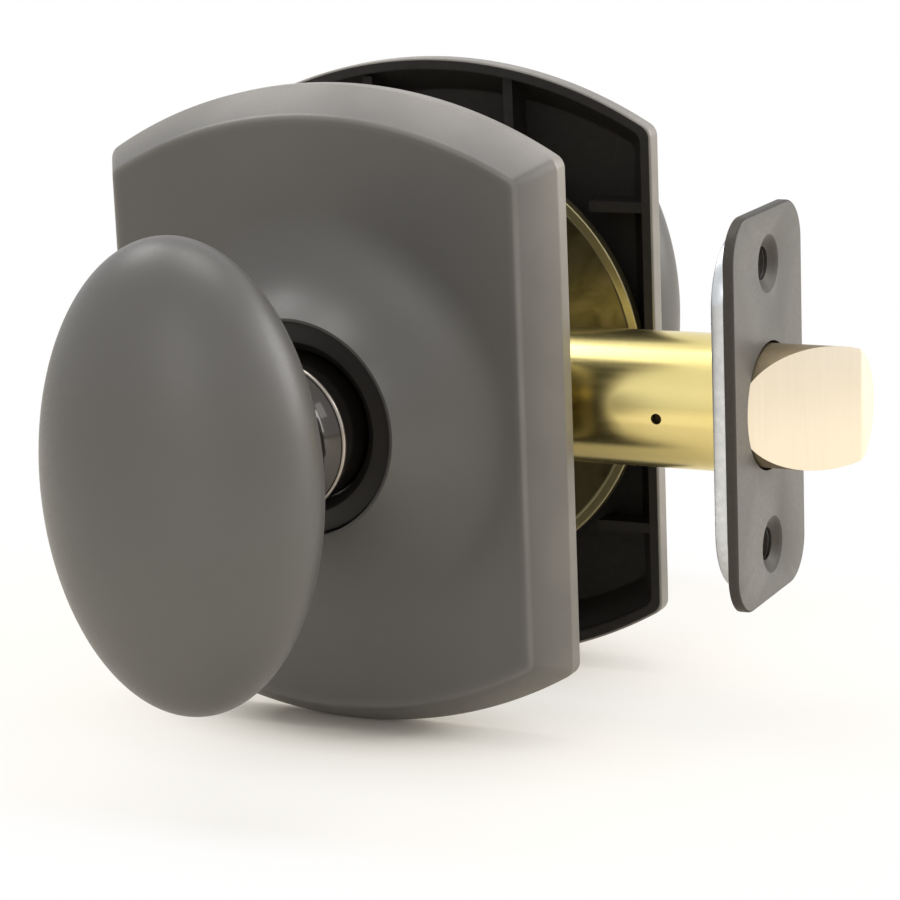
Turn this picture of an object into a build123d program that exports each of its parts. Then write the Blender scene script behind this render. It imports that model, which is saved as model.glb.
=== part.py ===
from build123d import *
import math
import os

# Passage knob set with a tubular spring latch, in millimetres.
# X points to the door's edge, Y goes through the door away from the front side, Z is up.
# The origin is where the spindle's axis crosses the latch's axis, midway through the door.

# Fits between pieces, and how far a slanted cut runs past the piece it cuts
PRESS_GAP = 0.05
RUNNING_GAP = 0.1
SLIDE_GAP = 0.2
PASS_GAP = 0.3
OVERCUT = 1.0

# Door
DOOR_THICKNESS = 31.75
BACKSET = 60.3

# Rose: arched plate with a straight edge, a bevel and a flared collar round the knob's hole
ROSE_WIDTH = 72.6
ROSE_SIDE_HEIGHT = 74.4
ROSE_HEIGHT = 95.25
ROSE_EDGE = 2.75
ROSE_BEVEL = 3.8
ROSE_SHOULDER = 9.0
ROSE_WALL = 1.8
ROSE_CORNER_RADIUS = 2.2
FACE_CORNER_RADIUS = 1.6
COLLAR_RISE = 8.6
COLLAR_MARGIN = 2.0
COLLAR_LIP = 0.5
KNOB_HOLE_RADIUS = 15.7
RIB_THICKNESS = 1.6
RIB_SPREAD = 12.0
RIB_START = 25.0

# Mounting plate and its bearing sleeve
PLATE_CLEARANCE = 0.6
PLATE_THICKNESS = 1.5
PLATE_RECESS = 0.9
PLATE_RIM_WIDTH = 1.4
PLATE_RIM_HEIGHT = 0.45
SLEEVE_WALL = 1.8
SLEEVE_LENGTH = 7.6
SLEEVE_FLANGE_RADIUS = 14.0
SLEEVE_FLANGE = 1.0

# Through fasteners
POST_SPACING = 41.3
POST_RADIUS = 3.2
POST_LENGTH = 25.0
SCREW_RADIUS = 2.0
SCREW_LENGTH = 22.0
SCREW_HEAD_RADIUS = 3.6
SCREW_HEAD_HEIGHT = 2.2
SCREW_SLOT = 0.9

# Knob and its neck
KNOB_WIDTH = 41.0
KNOB_DEPTH = 28.1
KNOB_HEIGHT = 66.0
KNOB_WALL = 2.2
KNOB_PROJECTION = 62.4
NECK_RADIUS = 11.0
NECK_BEAD = 0.5
NECK_STRAIGHT = 4.5
NECK_WAIST_RADIUS = 9.6
NECK_RIM_RADIUS = 12.8
NECK_RIM = 2.2
SHANK_RADIUS = 9.9
SHANK_END = 2.3
TENON_RADIUS = 8.0
TENON_LENGTH = 4.0

# Nylon bushing round the neck
BUSHING_RECESS = 1.1
BUSHING_LENGTH = 4.6
BUSHING_FLANGE = 1.3
BUSHING_FLANGE_WIDTH = 1.2

# Return spring, its driver and the retaining ring
DRIVER_THICKNESS = 1.5
DRIVER_RADIUS = 15.0
LUG_WIDTH = 4.6
LUG_THICKNESS = 1.6
LUG_LENGTH = 5.6
RETURN_WIRE = 1.1
RETURN_PITCH = 1.7
RETURN_TURNS = 3
RETURN_LEG = 3.0
RING_THICKNESS = 1.0
RING_DEPTH = 1.0
RING_WIDTH = 2.6
RING_GAP_WIDTH = 4.0

# Spindle
SPINDLE_SIZE = 7.94
SPINDLE_LENGTH = 68.0
SPINDLE_GAP = 0.12
SPINDLE_CHAMFER = 0.5

# Latch: face plate, back plate and tube
FACEPLATE_WIDTH = 28.58
FACEPLATE_HEIGHT = 57.15
FACEPLATE_THICKNESS = 1.5
FACEPLATE_CORNER = 6.35
FACEPLATE_EDGE = 0.4
FACEPLATE_SCREW_SPACING = 41.3
FACEPLATE_SCREW_RADIUS = 2.4
FACEPLATE_DISH_RADIUS = 4.2
FACEPLATE_DISH_ANGLE = 120.0
BACKPLATE_WIDTH = 28.2
BACKPLATE_HEIGHT = 52.0
BACKPLATE_THICKNESS = 2.0
BACKPLATE_CORNER = 10.0
BACKPLATE_HOLE_RADIUS = 2.5
TUBE_RADIUS = 10.0
TUBE_WALL = 0.8
TUBE_START = 16.0
TUBE_HOLE_RADIUS = 0.8
TUBE_HOLE_FROM_EDGE = 13.7
TUBE_HOLE_DROP = 0.7

# Spring bolt
BOLT_RADIUS = 9.0
BOLT_THROW = 12.7
BOLT_LENGTH = 27.0
BOLT_BEVEL_START = 7.5
BOLT_BEVEL_END = 4.1
BOLT_EDGE = 0.4
BOLT_HOLE_GAP = 0.4
BOLT_SLOT_DEPTH = 7.0
RIVET_RADIUS = 1.5
RIVET_SETBACK = 3.5

# Hub with two cam arms
KNOB_TURN = 70.0
HUB_RADIUS = 6.8
HUB_LENGTH = 11.8
ARM_LENGTH = 12.2
ARM_WIDTH = 3.0
ARM_THICKNESS = 3.0

# Retractor fork and its pegs
FORK_THICKNESS = 2.0
FORK_BAR = 3.0
FORK_BAR_GAP = 0.5
STRAP_WIDTH = 8.0
PEG_RADIUS = 1.5
PEG_LENGTH = 3.1
PEG_HEIGHT = 9.07
PEG_EYE_RADIUS = 2.1

# Latch case
CASE_WALL = 1.2
CASE_HEIGHT = 16.0
CASE_REAR = 14.0
CASE_TAB_LENGTH = 6.0
CASE_TAB_HEIGHT = 14.0

# Bolt spring and its seat
SEAT_THICKNESS = 1.5
BOLT_SPRING_WIRE = 1.0
BOLT_SPRING_RADIUS = 6.0
BOLT_SPRING_TURNS = 6
COIL_END_GAP = 0.05
LEAST_COIL_GAP = 0.4

# Places worked out from the sizes above: distances along Y are counted from the middle of the door
HALF_DOOR = DOOR_THICKNESS / 2
ROSE_FACE = HALF_DOOR + ROSE_SHOULDER
ROSE_LIP = ROSE_FACE + COLLAR_RISE
COLLAR_FOOT_RADIUS = ROSE_WIDTH / 2 - ROSE_BEVEL - COLLAR_MARGIN
ARCH_SAG = (ROSE_HEIGHT - ROSE_SIDE_HEIGHT) / 2
ARCH_RADIUS = ((ROSE_WIDTH / 2) ** 2 + ARCH_SAG**2) / (2 * ARCH_SAG)
ARCH_CENTRE = ROSE_HEIGHT / 2 - ARCH_RADIUS
PLATE_BACK = HALF_DOOR + PLATE_RECESS
PLATE_FRONT = PLATE_BACK + PLATE_THICKNESS
PLATE_RADIUS = ROSE_WIDTH / 2 - ROSE_WALL - PLATE_CLEARANCE
SLEEVE_BORE = SHANK_RADIUS + RUNNING_GAP
SLEEVE_RADIUS = SLEEVE_BORE + SLEEVE_WALL
SLEEVE_TOP = PLATE_FRONT + SLEEVE_LENGTH
RETURN_RADIUS = SLEEVE_RADIUS + PASS_GAP + RETURN_WIRE
DRIVER_BACK = SLEEVE_TOP + PASS_GAP
DRIVER_FRONT = DRIVER_BACK + DRIVER_THICKNESS
BUSHING_FRONT = ROSE_LIP - BUSHING_RECESS
BUSHING_BACK = BUSHING_FRONT - BUSHING_LENGTH
SHANK_BACK = HALF_DOOR - SHANK_END
RING_FRONT = PLATE_BACK - PASS_GAP
RING_BACK = RING_FRONT - RING_THICKNESS
KNOB_CENTRE = HALF_DOOR + KNOB_PROJECTION - KNOB_DEPTH / 2
KNOB_BACK = KNOB_CENTRE - KNOB_DEPTH / 2
SQUARE_BORE = SPINDLE_SIZE + 2 * SPINDLE_GAP
FACEPLATE_BACK = BACKSET - FACEPLATE_THICKNESS
BACKPLATE_BACK = FACEPLATE_BACK - BACKPLATE_THICKNESS
TUBE_BORE = TUBE_RADIUS - TUBE_WALL
BOLT_TIP = BACKSET + BOLT_THROW
BOLT_BACK = BOLT_TIP - BOLT_LENGTH
LEAN = math.radians(KNOB_TURN / 2)
PEG_REACH = PEG_HEIGHT * math.tan(LEAN) - (PEG_RADIUS + ARM_WIDTH / 2) / math.cos(LEAN) - SLIDE_GAP
ARM_START = FORK_THICKNESS / 2 + PASS_GAP
CASE_INSIDE = ARM_START + ARM_THICKNESS + PASS_GAP
CASE_OUTSIDE = CASE_INSIDE + CASE_WALL
BAR_BACK = HUB_RADIUS + FORK_BAR_GAP + BOLT_THROW
BAR_FRONT = BAR_BACK + FORK_BAR
SEAT_BACK = BAR_FRONT + PASS_GAP
SEAT_FRONT = SEAT_BACK + SEAT_THICKNESS
PRONG_TOP = TUBE_BORE - PASS_GAP
PRONG_BOTTOM = HUB_RADIUS + 2 * SLIDE_GAP


def front_plane(distance):
    """Plane facing the front side, at a distance from the middle of the door."""
    return Plane.XZ.offset(distance)


def turned(*points):
    """Closed outline of (radius, distance from the middle of the door), to revolve about the spindle's axis."""
    with BuildSketch(Plane.XY) as profile:
        with BuildLine():
            Polyline(*[(radius, -distance) for radius, distance in points], close=True)
        make_face()
    return profile.sketch


def arched(depth, inset, corner_radius):
    """Arched outline of the rose, drawn in by inset, at a depth from the door's face."""
    half_width = ROSE_WIDTH / 2 - inset
    middle = ROSE_HEIGHT / 2 - inset
    side = ARCH_CENTRE + math.sqrt((ARCH_RADIUS - inset) ** 2 - half_width**2)
    with BuildSketch(front_plane(HALF_DOOR + depth)) as outline:
        with BuildLine():
            top = ThreePointArc((-half_width, side), (0, middle), (half_width, side))
            right = Line(top @ 1, (half_width, -side))
            bottom = ThreePointArc(right @ 1, (0, -middle), (-half_width, -side))
            Line(bottom @ 1, top @ 0)
        make_face()
        fillet(outline.vertices(), corner_radius)
    return outline.sketch


def collar(wall):
    """Half section of the flared collar, or of the hollow inside it where wall is more than nothing."""
    run = COLLAR_FOOT_RADIUS - KNOB_HOLE_RADIUS - COLLAR_LIP
    sweep_angle = 2 * math.atan2(COLLAR_RISE, run)
    flare = run / math.sin(sweep_angle) + wall
    inner = KNOB_HOLE_RADIUS + (COLLAR_LIP if wall == 0 else 0)
    reach = math.asin((COLLAR_FOOT_RADIUS - inner) / flare)
    foot = (COLLAR_FOOT_RADIUS, -(ROSE_FACE - wall))
    end = (inner, foot[1] - flare * (1 - math.cos(reach)))
    with BuildSketch(Plane.XY) as section:
        with BuildLine():
            TangentArc(foot, end, tangent=(-1, 0))
            Polyline(end, (0, end[1]), (0, foot[1]), foot)
        make_face()
    return section.sketch


def rose_form(wall):
    """Outside of the rose, or its hollow where wall is more than nothing."""
    start = arched(-wall, wall, ROSE_CORNER_RADIUS)
    edge = arched(ROSE_EDGE, wall, ROSE_CORNER_RADIUS)
    face = arched(ROSE_SHOULDER - wall, ROSE_BEVEL + wall, FACE_CORNER_RADIUS)
    with BuildPart() as form:
        loft([start, edge], ruled=True)
        loft([edge, face], ruled=True)
        revolve(collar(wall), axis=Axis.Y)
    return form.part


def egg(wall):
    """Egg of the knob's outside, or of its hollow where wall is more than nothing."""
    with BuildPart() as form:
        Sphere(0.5)
        scale(by=(KNOB_WIDTH - 2 * wall, KNOB_DEPTH - 2 * wall, KNOB_HEIGHT - 2 * wall))
    return Pos(0, -KNOB_CENTRE, 0) * form.part


def coil_points(radius, pitch, turns, start_angle):
    """Points and directions of a helix about +Z, four to a turn."""
    steps = 4 * turns
    rise = pitch / (2 * math.pi)
    length = math.hypot(radius, rise)
    for step in range(steps + 1):
        angle = start_angle + step * math.pi / 2
        height = step * pitch / 4
        point = Vector(radius * math.cos(angle), radius * math.sin(angle), height)
        heading = Vector(-radius * math.sin(angle), radius * math.cos(angle), rise) / length
        yield point, heading


def quarter_turn(start, start_heading, end, end_heading):
    """Two tangent arcs that take the wire through a quarter of a turn."""
    chord = end - start
    pull = chord.dot(start_heading + end_heading)
    spread = 2 * (1 - start_heading.dot(end_heading))
    reach = (math.sqrt(pull**2 + spread * chord.dot(chord)) - pull) / spread
    lead = start + start_heading * reach
    trail = end - end_heading * reach
    middle = (lead + trail) / 2
    TangentArc(start, middle, tangent=start_heading)
    TangentArc(middle, end, tangent=trail - lead)


def coil_spring(radius, pitch, turns, wire, leg, start_angle):
    """Square-wire coil about +Z from its first turn at nothing, with a straight tangent leg at each end."""
    points = list(coil_points(radius, pitch, turns, start_angle))
    first, first_heading = points[0]
    last, last_heading = points[-1]
    with BuildLine() as path:
        if leg:
            Line(first - first_heading * leg, first)
        for (start, start_heading), (end, end_heading) in zip(points, points[1:]):
            quarter_turn(start, start_heading, end, end_heading)
        if leg:
            Line(last, last + last_heading * leg)
    section_plane = Plane(path.wire() @ 0, x_dir=(0, 0, 1), z_dir=path.wire() % 0)
    with BuildSketch(section_plane) as section:
        Rectangle(wire, wire)
    with BuildPart() as spring:
        sweep(section.sketch, path=path.wire())
    return spring.part


def report_coil_gap(name, pitch, wire):
    """Print the least gap between neighbouring turns."""
    gap = pitch - wire
    print(f"{name}: least gap between turns {gap:.2f} mm, at least {LEAST_COIL_GAP} mm: {gap >= LEAST_COIL_GAP}")


def save(piece, name):
    """Label a finished piece and write it out."""
    piece.part.label = name
    export_step(piece.part, f"parts/{name}.step")


def save_pair(front_piece, name):
    """Write a piece of the front side, and its mirrored twin for the rear side."""
    with BuildPart() as rear_piece:
        mirror(front_piece.part, about=Plane.XZ)
    save(front_piece, f"front_{name}")
    save(rear_piece, f"rear_{name}")


os.makedirs("parts", exist_ok=True)

# Rose: hollow shell with stiffening ribs that stand on the mounting plate
rose_outside = rose_form(0)
rose_hollow = rose_form(ROSE_WALL)
rib_height = ROSE_HEIGHT / 2 - RIB_START
rib_reach = ROSE_WIDTH / 2 - RIB_START
with BuildPart() as rose_ribs:
    with BuildSketch(front_plane(PLATE_FRONT)):
        with GridLocations(2 * RIB_SPREAD, 2 * RIB_START + rib_height, 2, 2):
            Rectangle(RIB_THICKNESS, rib_height)
        with GridLocations(2 * RIB_START + rib_reach, 2 * RIB_START, 2, 2):
            Rectangle(rib_reach, RIB_THICKNESS)
    extrude(amount=ROSE_SHOULDER)
    add(rose_hollow, mode=Mode.INTERSECT)
with BuildPart() as front_rose:
    add(rose_outside)
    add(rose_hollow, mode=Mode.SUBTRACT)
    add(rose_ribs.part)
    with BuildSketch(front_plane(0)):
        Circle(KNOB_HOLE_RADIUS)
    extrude(amount=ROSE_LIP + ROSE_WALL, mode=Mode.SUBTRACT)
save_pair(front_rose, "rose")

# Mounting plate: round plate with a turned rim, a bore for the sleeve and two fastener holes
with BuildPart() as front_mounting_plate:
    rim_start = PLATE_RADIUS - PLATE_RIM_WIDTH
    rim_back = PLATE_BACK - PLATE_RIM_HEIGHT
    bore = SLEEVE_RADIUS + PRESS_GAP
    revolve(
        turned(
            (bore, PLATE_FRONT),
            (PLATE_RADIUS, PLATE_FRONT),
            (PLATE_RADIUS, rim_back),
            (rim_start, rim_back),
            (rim_start - PLATE_RIM_HEIGHT, PLATE_BACK),
            (bore, PLATE_BACK),
        ),
        axis=Axis.Y,
    )
    with BuildSketch(front_plane(0)):
        with GridLocations(0, POST_SPACING, 1, 2):
            Circle(SCREW_RADIUS + SLIDE_GAP)
    extrude(amount=PLATE_FRONT + PLATE_THICKNESS, mode=Mode.SUBTRACT)
save_pair(front_mounting_plate, "mounting_plate")

# Bearing sleeve: pressed in the plate's bore and seated on its flange
with BuildPart() as front_bearing_sleeve:
    revolve(
        turned(
            (SLEEVE_BORE, PLATE_BACK),
            (SLEEVE_RADIUS, PLATE_BACK),
            (SLEEVE_RADIUS, PLATE_FRONT),
            (SLEEVE_FLANGE_RADIUS, PLATE_FRONT),
            (SLEEVE_FLANGE_RADIUS, PLATE_FRONT + SLEEVE_FLANGE),
            (SLEEVE_RADIUS, PLATE_FRONT + SLEEVE_FLANGE),
            (SLEEVE_RADIUS, SLEEVE_TOP),
            (SLEEVE_BORE, SLEEVE_TOP),
        ),
        axis=Axis.Y,
    )
save_pair(front_bearing_sleeve, "bearing_sleeve")

# Nylon bushing: black ring in the rose's hole, with a flange behind the collar
with BuildPart() as front_knob_bushing:
    bushing_bore = NECK_RADIUS + PASS_GAP
    bushing_radius = KNOB_HOLE_RADIUS - RUNNING_GAP
    flange_radius = bushing_radius + BUSHING_FLANGE_WIDTH
    revolve(
        turned(
            (bushing_bore, BUSHING_BACK),
            (flange_radius, BUSHING_BACK),
            (flange_radius, BUSHING_BACK + BUSHING_FLANGE),
            (bushing_radius, BUSHING_BACK + BUSHING_FLANGE),
            (bushing_radius, BUSHING_FRONT),
            (bushing_bore + BUSHING_FLANGE, BUSHING_FRONT),
            (bushing_bore, BUSHING_FRONT - BUSHING_FLANGE),
        ),
        axis=Axis.Y,
    )
save_pair(front_knob_bushing, "knob_bushing")

# Knob: hollow egg with a round hole in its back for the neck's tenon
with BuildPart() as knob_hollow:
    add(egg(KNOB_WALL))
    with BuildSketch(front_plane(0)):
        Circle(TENON_RADIUS + PRESS_GAP)
    extrude(amount=KNOB_CENTRE)
with BuildPart() as front_knob:
    add(egg(0))
    add(knob_hollow.part, mode=Mode.SUBTRACT)
save_pair(front_knob, "knob")

# Neck: shank that turns in the sleeve, beaded neck outside the rose, flared rim shaped to the knob, and tenon
with BuildPart() as front_knob_neck:
    bead_start = ROSE_LIP + NECK_STRAIGHT
    bead_end = bead_start + 2 * NECK_BEAD
    rim_start = KNOB_BACK - NECK_RIM
    with BuildSketch(Plane.XY):
        with BuildLine():
            Polyline(
                (0, -SHANK_BACK),
                (SHANK_RADIUS, -SHANK_BACK),
                (SHANK_RADIUS, -DRIVER_FRONT),
                (NECK_RADIUS, -DRIVER_FRONT),
                (NECK_RADIUS, -bead_start),
            )
            ThreePointArc(
                (NECK_RADIUS, -bead_start),
                (NECK_RADIUS + NECK_BEAD, -bead_start - NECK_BEAD),
                (NECK_RADIUS, -bead_end),
            )
            ThreePointArc(
                (NECK_RADIUS, -bead_end),
                (NECK_WAIST_RADIUS, -(bead_end + rim_start) / 2),
                (NECK_RIM_RADIUS, -rim_start),
            )
            Polyline(
                (NECK_RIM_RADIUS, -rim_start),
                (NECK_RIM_RADIUS, -KNOB_CENTRE),
                (0, -KNOB_CENTRE),
                (0, -SHANK_BACK),
            )
        make_face()
    revolve(axis=Axis.Y)
    add(egg(-PRESS_GAP), mode=Mode.SUBTRACT)
    with BuildSketch(front_plane(rim_start)):
        Circle(TENON_RADIUS)
    extrude(amount=NECK_RIM + KNOB_WALL + TENON_LENGTH)
    with BuildSketch(front_plane(0)):
        Rectangle(SQUARE_BORE, SQUARE_BORE)
    extrude(amount=SPINDLE_LENGTH / 2 + PASS_GAP, mode=Mode.SUBTRACT)
    revolve(
        turned(
            (SHANK_RADIUS - RING_DEPTH, RING_BACK - RUNNING_GAP),
            (SHANK_RADIUS + RING_DEPTH, RING_BACK - RUNNING_GAP),
            (SHANK_RADIUS + RING_DEPTH, RING_FRONT + RUNNING_GAP),
            (SHANK_RADIUS - RING_DEPTH, RING_FRONT + RUNNING_GAP),
        ),
        axis=Axis.Y,
        mode=Mode.SUBTRACT,
    )
save_pair(front_knob_neck, "knob_neck")

# Retaining ring: open snap ring in the shank's groove, against the sleeve's inner end
with BuildPart() as front_retaining_ring:
    ring_bore = SHANK_RADIUS - RING_DEPTH + PRESS_GAP
    with BuildSketch(front_plane(RING_BACK)):
        Circle(ring_bore + RING_WIDTH)
        Circle(ring_bore, mode=Mode.SUBTRACT)
        with Locations((0, -ring_bore - RING_WIDTH / 2)):
            Rectangle(RING_GAP_WIDTH, 2 * RING_WIDTH, mode=Mode.SUBTRACT)
    extrude(amount=RING_THICKNESS)
save_pair(front_retaining_ring, "retaining_ring")

# Spring driver: washer on the shank's shoulder, with a lug bent back beside the coil
with BuildPart() as front_spring_driver:
    lug_start = RETURN_RADIUS + RETURN_WIRE / 2 + PASS_GAP
    with BuildSketch(front_plane(DRIVER_BACK)):
        Circle(DRIVER_RADIUS)
        with Locations((0, (lug_start + LUG_THICKNESS) / 2)):
            Rectangle(LUG_WIDTH, lug_start + LUG_THICKNESS)
        Circle(SHANK_RADIUS + PRESS_GAP, mode=Mode.SUBTRACT)
    extrude(amount=DRIVER_THICKNESS)
    with BuildSketch(front_plane(DRIVER_BACK)):
        with Locations((0, lug_start + LUG_THICKNESS / 2)):
            Rectangle(LUG_WIDTH, LUG_THICKNESS)
    extrude(amount=-LUG_LENGTH)
save_pair(front_spring_driver, "spring_driver")

# Return spring: torsion coil round the sleeve, standing on its flange
return_start = PLATE_FRONT + SLEEVE_FLANGE + RETURN_WIRE / 2 + COIL_END_GAP
report_coil_gap("return spring", RETURN_PITCH, RETURN_WIRE)
return_coil = coil_spring(RETURN_RADIUS, RETURN_PITCH, RETURN_TURNS, RETURN_WIRE, RETURN_LEG, 0)
with BuildPart() as front_return_spring:
    add(front_plane(return_start).location * return_coil)
save_pair(front_return_spring, "return_spring")

# Spindle: square bar from neck to neck through the latch's hub
with BuildPart() as spindle:
    with BuildSketch(front_plane(-SPINDLE_LENGTH / 2)) as spindle_section:
        Rectangle(SPINDLE_SIZE, SPINDLE_SIZE)
        chamfer(spindle_section.vertices(), SPINDLE_CHAMFER)
    extrude(amount=SPINDLE_LENGTH)
save(spindle, "spindle")

# Posts staked in the front plate, tapped for the screws
with BuildPart() as mounting_posts:
    with BuildSketch(front_plane(PLATE_BACK)):
        with GridLocations(0, POST_SPACING, 1, 2):
            Circle(POST_RADIUS)
            Circle(SCREW_RADIUS + SLIDE_GAP, mode=Mode.SUBTRACT)
    extrude(amount=-POST_LENGTH)
save(mounting_posts, "mounting_posts")

# Slotted screws from the rear plate into the posts
with BuildPart() as mounting_screws:
    with BuildSketch(front_plane(-PLATE_FRONT)):
        with GridLocations(0, POST_SPACING, 1, 2):
            Circle(SCREW_HEAD_RADIUS)
    extrude(amount=-SCREW_HEAD_HEIGHT)
    with BuildSketch(front_plane(-PLATE_FRONT)):
        with GridLocations(0, POST_SPACING, 1, 2):
            Circle(SCREW_RADIUS)
    extrude(amount=SCREW_LENGTH)
    with BuildSketch(front_plane(-PLATE_FRONT - SCREW_HEAD_HEIGHT)):
        with GridLocations(0, POST_SPACING, 1, 2):
            Rectangle(2 * SCREW_HEAD_RADIUS, SCREW_SLOT)
    extrude(amount=SCREW_HEAD_HEIGHT / 2, mode=Mode.SUBTRACT)
save(mounting_screws, "mounting_screws")

# Face plate on the door's edge, with dished screw holes and the bolt's hole
with BuildPart() as latch_faceplate:
    with BuildSketch(Plane.YZ.offset(FACEPLATE_BACK)):
        RectangleRounded(FACEPLATE_WIDTH, FACEPLATE_HEIGHT, FACEPLATE_CORNER)
        Circle(BOLT_RADIUS + BOLT_HOLE_GAP, mode=Mode.SUBTRACT)
    extrude(amount=FACEPLATE_THICKNESS)
    with Locations(Plane.YZ.offset(BACKSET)):
        with GridLocations(0, FACEPLATE_SCREW_SPACING, 1, 2):
            CounterSinkHole(
                FACEPLATE_SCREW_RADIUS,
                FACEPLATE_DISH_RADIUS,
                counter_sink_angle=FACEPLATE_DISH_ANGLE,
            )
    outer_face = latch_faceplate.faces().sort_by(Axis.X)[-1]
    fillet(outer_face.outer_wire().edges(), FACEPLATE_EDGE)
save(latch_faceplate, "latch_faceplate")

# Back plate between the face plate and the tube's end
with BuildPart() as latch_backplate:
    with BuildSketch(Plane.YZ.offset(BACKPLATE_BACK)):
        RectangleRounded(BACKPLATE_WIDTH, BACKPLATE_HEIGHT, BACKPLATE_CORNER)
        Circle(TUBE_RADIUS + PRESS_GAP, mode=Mode.SUBTRACT)
        with GridLocations(0, FACEPLATE_SCREW_SPACING, 1, 2):
            Circle(BACKPLATE_HOLE_RADIUS, mode=Mode.SUBTRACT)
    extrude(amount=BACKPLATE_THICKNESS)
save(latch_backplate, "latch_backplate")

# Latch tube, with one small hole on its front side
with BuildPart() as latch_tube:
    with BuildSketch(Plane.YZ.offset(TUBE_START)):
        Circle(TUBE_RADIUS)
        Circle(TUBE_BORE, mode=Mode.SUBTRACT)
    extrude(amount=FACEPLATE_BACK - TUBE_START)
    with BuildSketch(front_plane(0)):
        with Locations((BACKSET - TUBE_HOLE_FROM_EDGE, -TUBE_HOLE_DROP)):
            Circle(TUBE_HOLE_RADIUS)
    extrude(amount=TUBE_RADIUS + TUBE_WALL, mode=Mode.SUBTRACT)
save(latch_tube, "latch_tube")

# Spring bolt: round bar bevelled on its front side, slotted at its back for the strap
with BuildPart() as latch_bolt:
    with BuildSketch(Plane.YZ.offset(BOLT_BACK)):
        Circle(BOLT_RADIUS)
    extrude(amount=BOLT_LENGTH)
    bevel_slope = BOLT_THROW / (BOLT_BEVEL_END + BOLT_BEVEL_START)
    bevel_foot = BACKSET - (BOLT_RADIUS - BOLT_BEVEL_START) * bevel_slope
    with BuildSketch(Plane.XY):
        with BuildLine():
            Polyline(
                (bevel_foot - bevel_slope * OVERCUT, -BOLT_RADIUS - OVERCUT),
                (BOLT_TIP + bevel_slope * OVERCUT, BOLT_BEVEL_END + OVERCUT),
                (BOLT_TIP + bevel_slope * OVERCUT, -BOLT_RADIUS - OVERCUT),
                close=True,
            )
        make_face()
    extrude(amount=BOLT_RADIUS, both=True, mode=Mode.SUBTRACT)
    chamfer(latch_bolt.faces().sort_by(Axis.X)[-1].edges(), BOLT_EDGE)
    with BuildSketch(Plane.YZ.offset(BOLT_BACK)):
        Rectangle(FORK_THICKNESS + SLIDE_GAP, STRAP_WIDTH + SLIDE_GAP)
    extrude(amount=BOLT_SLOT_DEPTH, mode=Mode.SUBTRACT)
    with BuildSketch(front_plane(0)):
        with Locations((BOLT_BACK + RIVET_SETBACK, 0)):
            Circle(RIVET_RADIUS + PRESS_GAP)
    extrude(amount=BOLT_RADIUS, both=True, mode=Mode.SUBTRACT)
save(latch_bolt, "latch_bolt")

# Cross rivet through the bolt and the strap
with BuildPart() as bolt_rivet:
    rivet_half = math.sqrt(BOLT_RADIUS**2 - RIVET_RADIUS**2) - PASS_GAP
    with BuildSketch(front_plane(-rivet_half)):
        with Locations((BOLT_BACK + RIVET_SETBACK, 0)):
            Circle(RIVET_RADIUS)
    extrude(amount=2 * rivet_half)
save(bolt_rivet, "bolt_rivet")

# Retractor: flat fork whose prongs pass above and below the hub, with a strap to the bolt
with BuildPart() as retractor:
    strap_end = BOLT_BACK + BOLT_SLOT_DEPTH - SLIDE_GAP
    with BuildSketch(Plane.XZ) as fork_outline:
        with Locations(((BAR_BACK + BAR_FRONT) / 2, 0)):
            Rectangle(FORK_BAR, 2 * PRONG_TOP)
        with Locations(((BAR_FRONT + strap_end) / 2, 0)):
            Rectangle(strap_end - BAR_FRONT, STRAP_WIDTH)
        for side in (-1, 1):
            with Locations(((PEG_REACH + BAR_FRONT) / 2, side * (PRONG_TOP + PRONG_BOTTOM) / 2)):
                Rectangle(BAR_FRONT - PEG_REACH, PRONG_TOP - PRONG_BOTTOM)
            with Locations((PEG_REACH, side * PEG_HEIGHT)):
                Circle(PEG_EYE_RADIUS)
                Circle(PEG_RADIUS + PRESS_GAP, mode=Mode.SUBTRACT)
        with Locations((BOLT_BACK + RIVET_SETBACK, 0)):
            Circle(RIVET_RADIUS + PRESS_GAP, mode=Mode.SUBTRACT)
    extrude(amount=FORK_THICKNESS / 2, both=True)
save(retractor, "retractor")

# Pegs riveted in the prongs, which the hub's arms push back
with BuildPart() as retractor_pins:
    with BuildSketch(front_plane(FORK_THICKNESS / 2)):
        with Locations((PEG_REACH, PEG_HEIGHT), (PEG_REACH, -PEG_HEIGHT)):
            Circle(PEG_RADIUS)
    extrude(amount=-FORK_THICKNESS - PEG_LENGTH)
save(retractor_pins, "retractor_pins")

# Hub: square-bored barrel with two cam arms that lean towards the bolt
with BuildPart() as latch_hub:
    with BuildSketch(front_plane(-HUB_LENGTH / 2)):
        Circle(HUB_RADIUS)
    extrude(amount=HUB_LENGTH)
    with BuildSketch(front_plane(-ARM_START)):
        for side in (-1, 1):
            tip = (ARM_LENGTH - ARM_WIDTH / 2) * Vector(math.sin(LEAN), side * math.cos(LEAN))
            SlotCenterPoint(tip / 2, tip, ARM_WIDTH)
    extrude(amount=-ARM_THICKNESS)
    with BuildSketch(front_plane(-HUB_LENGTH / 2)):
        Rectangle(SQUARE_BORE, SQUARE_BORE)
    extrude(amount=HUB_LENGTH, mode=Mode.SUBTRACT)
save(latch_hub, "latch_hub")

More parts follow.
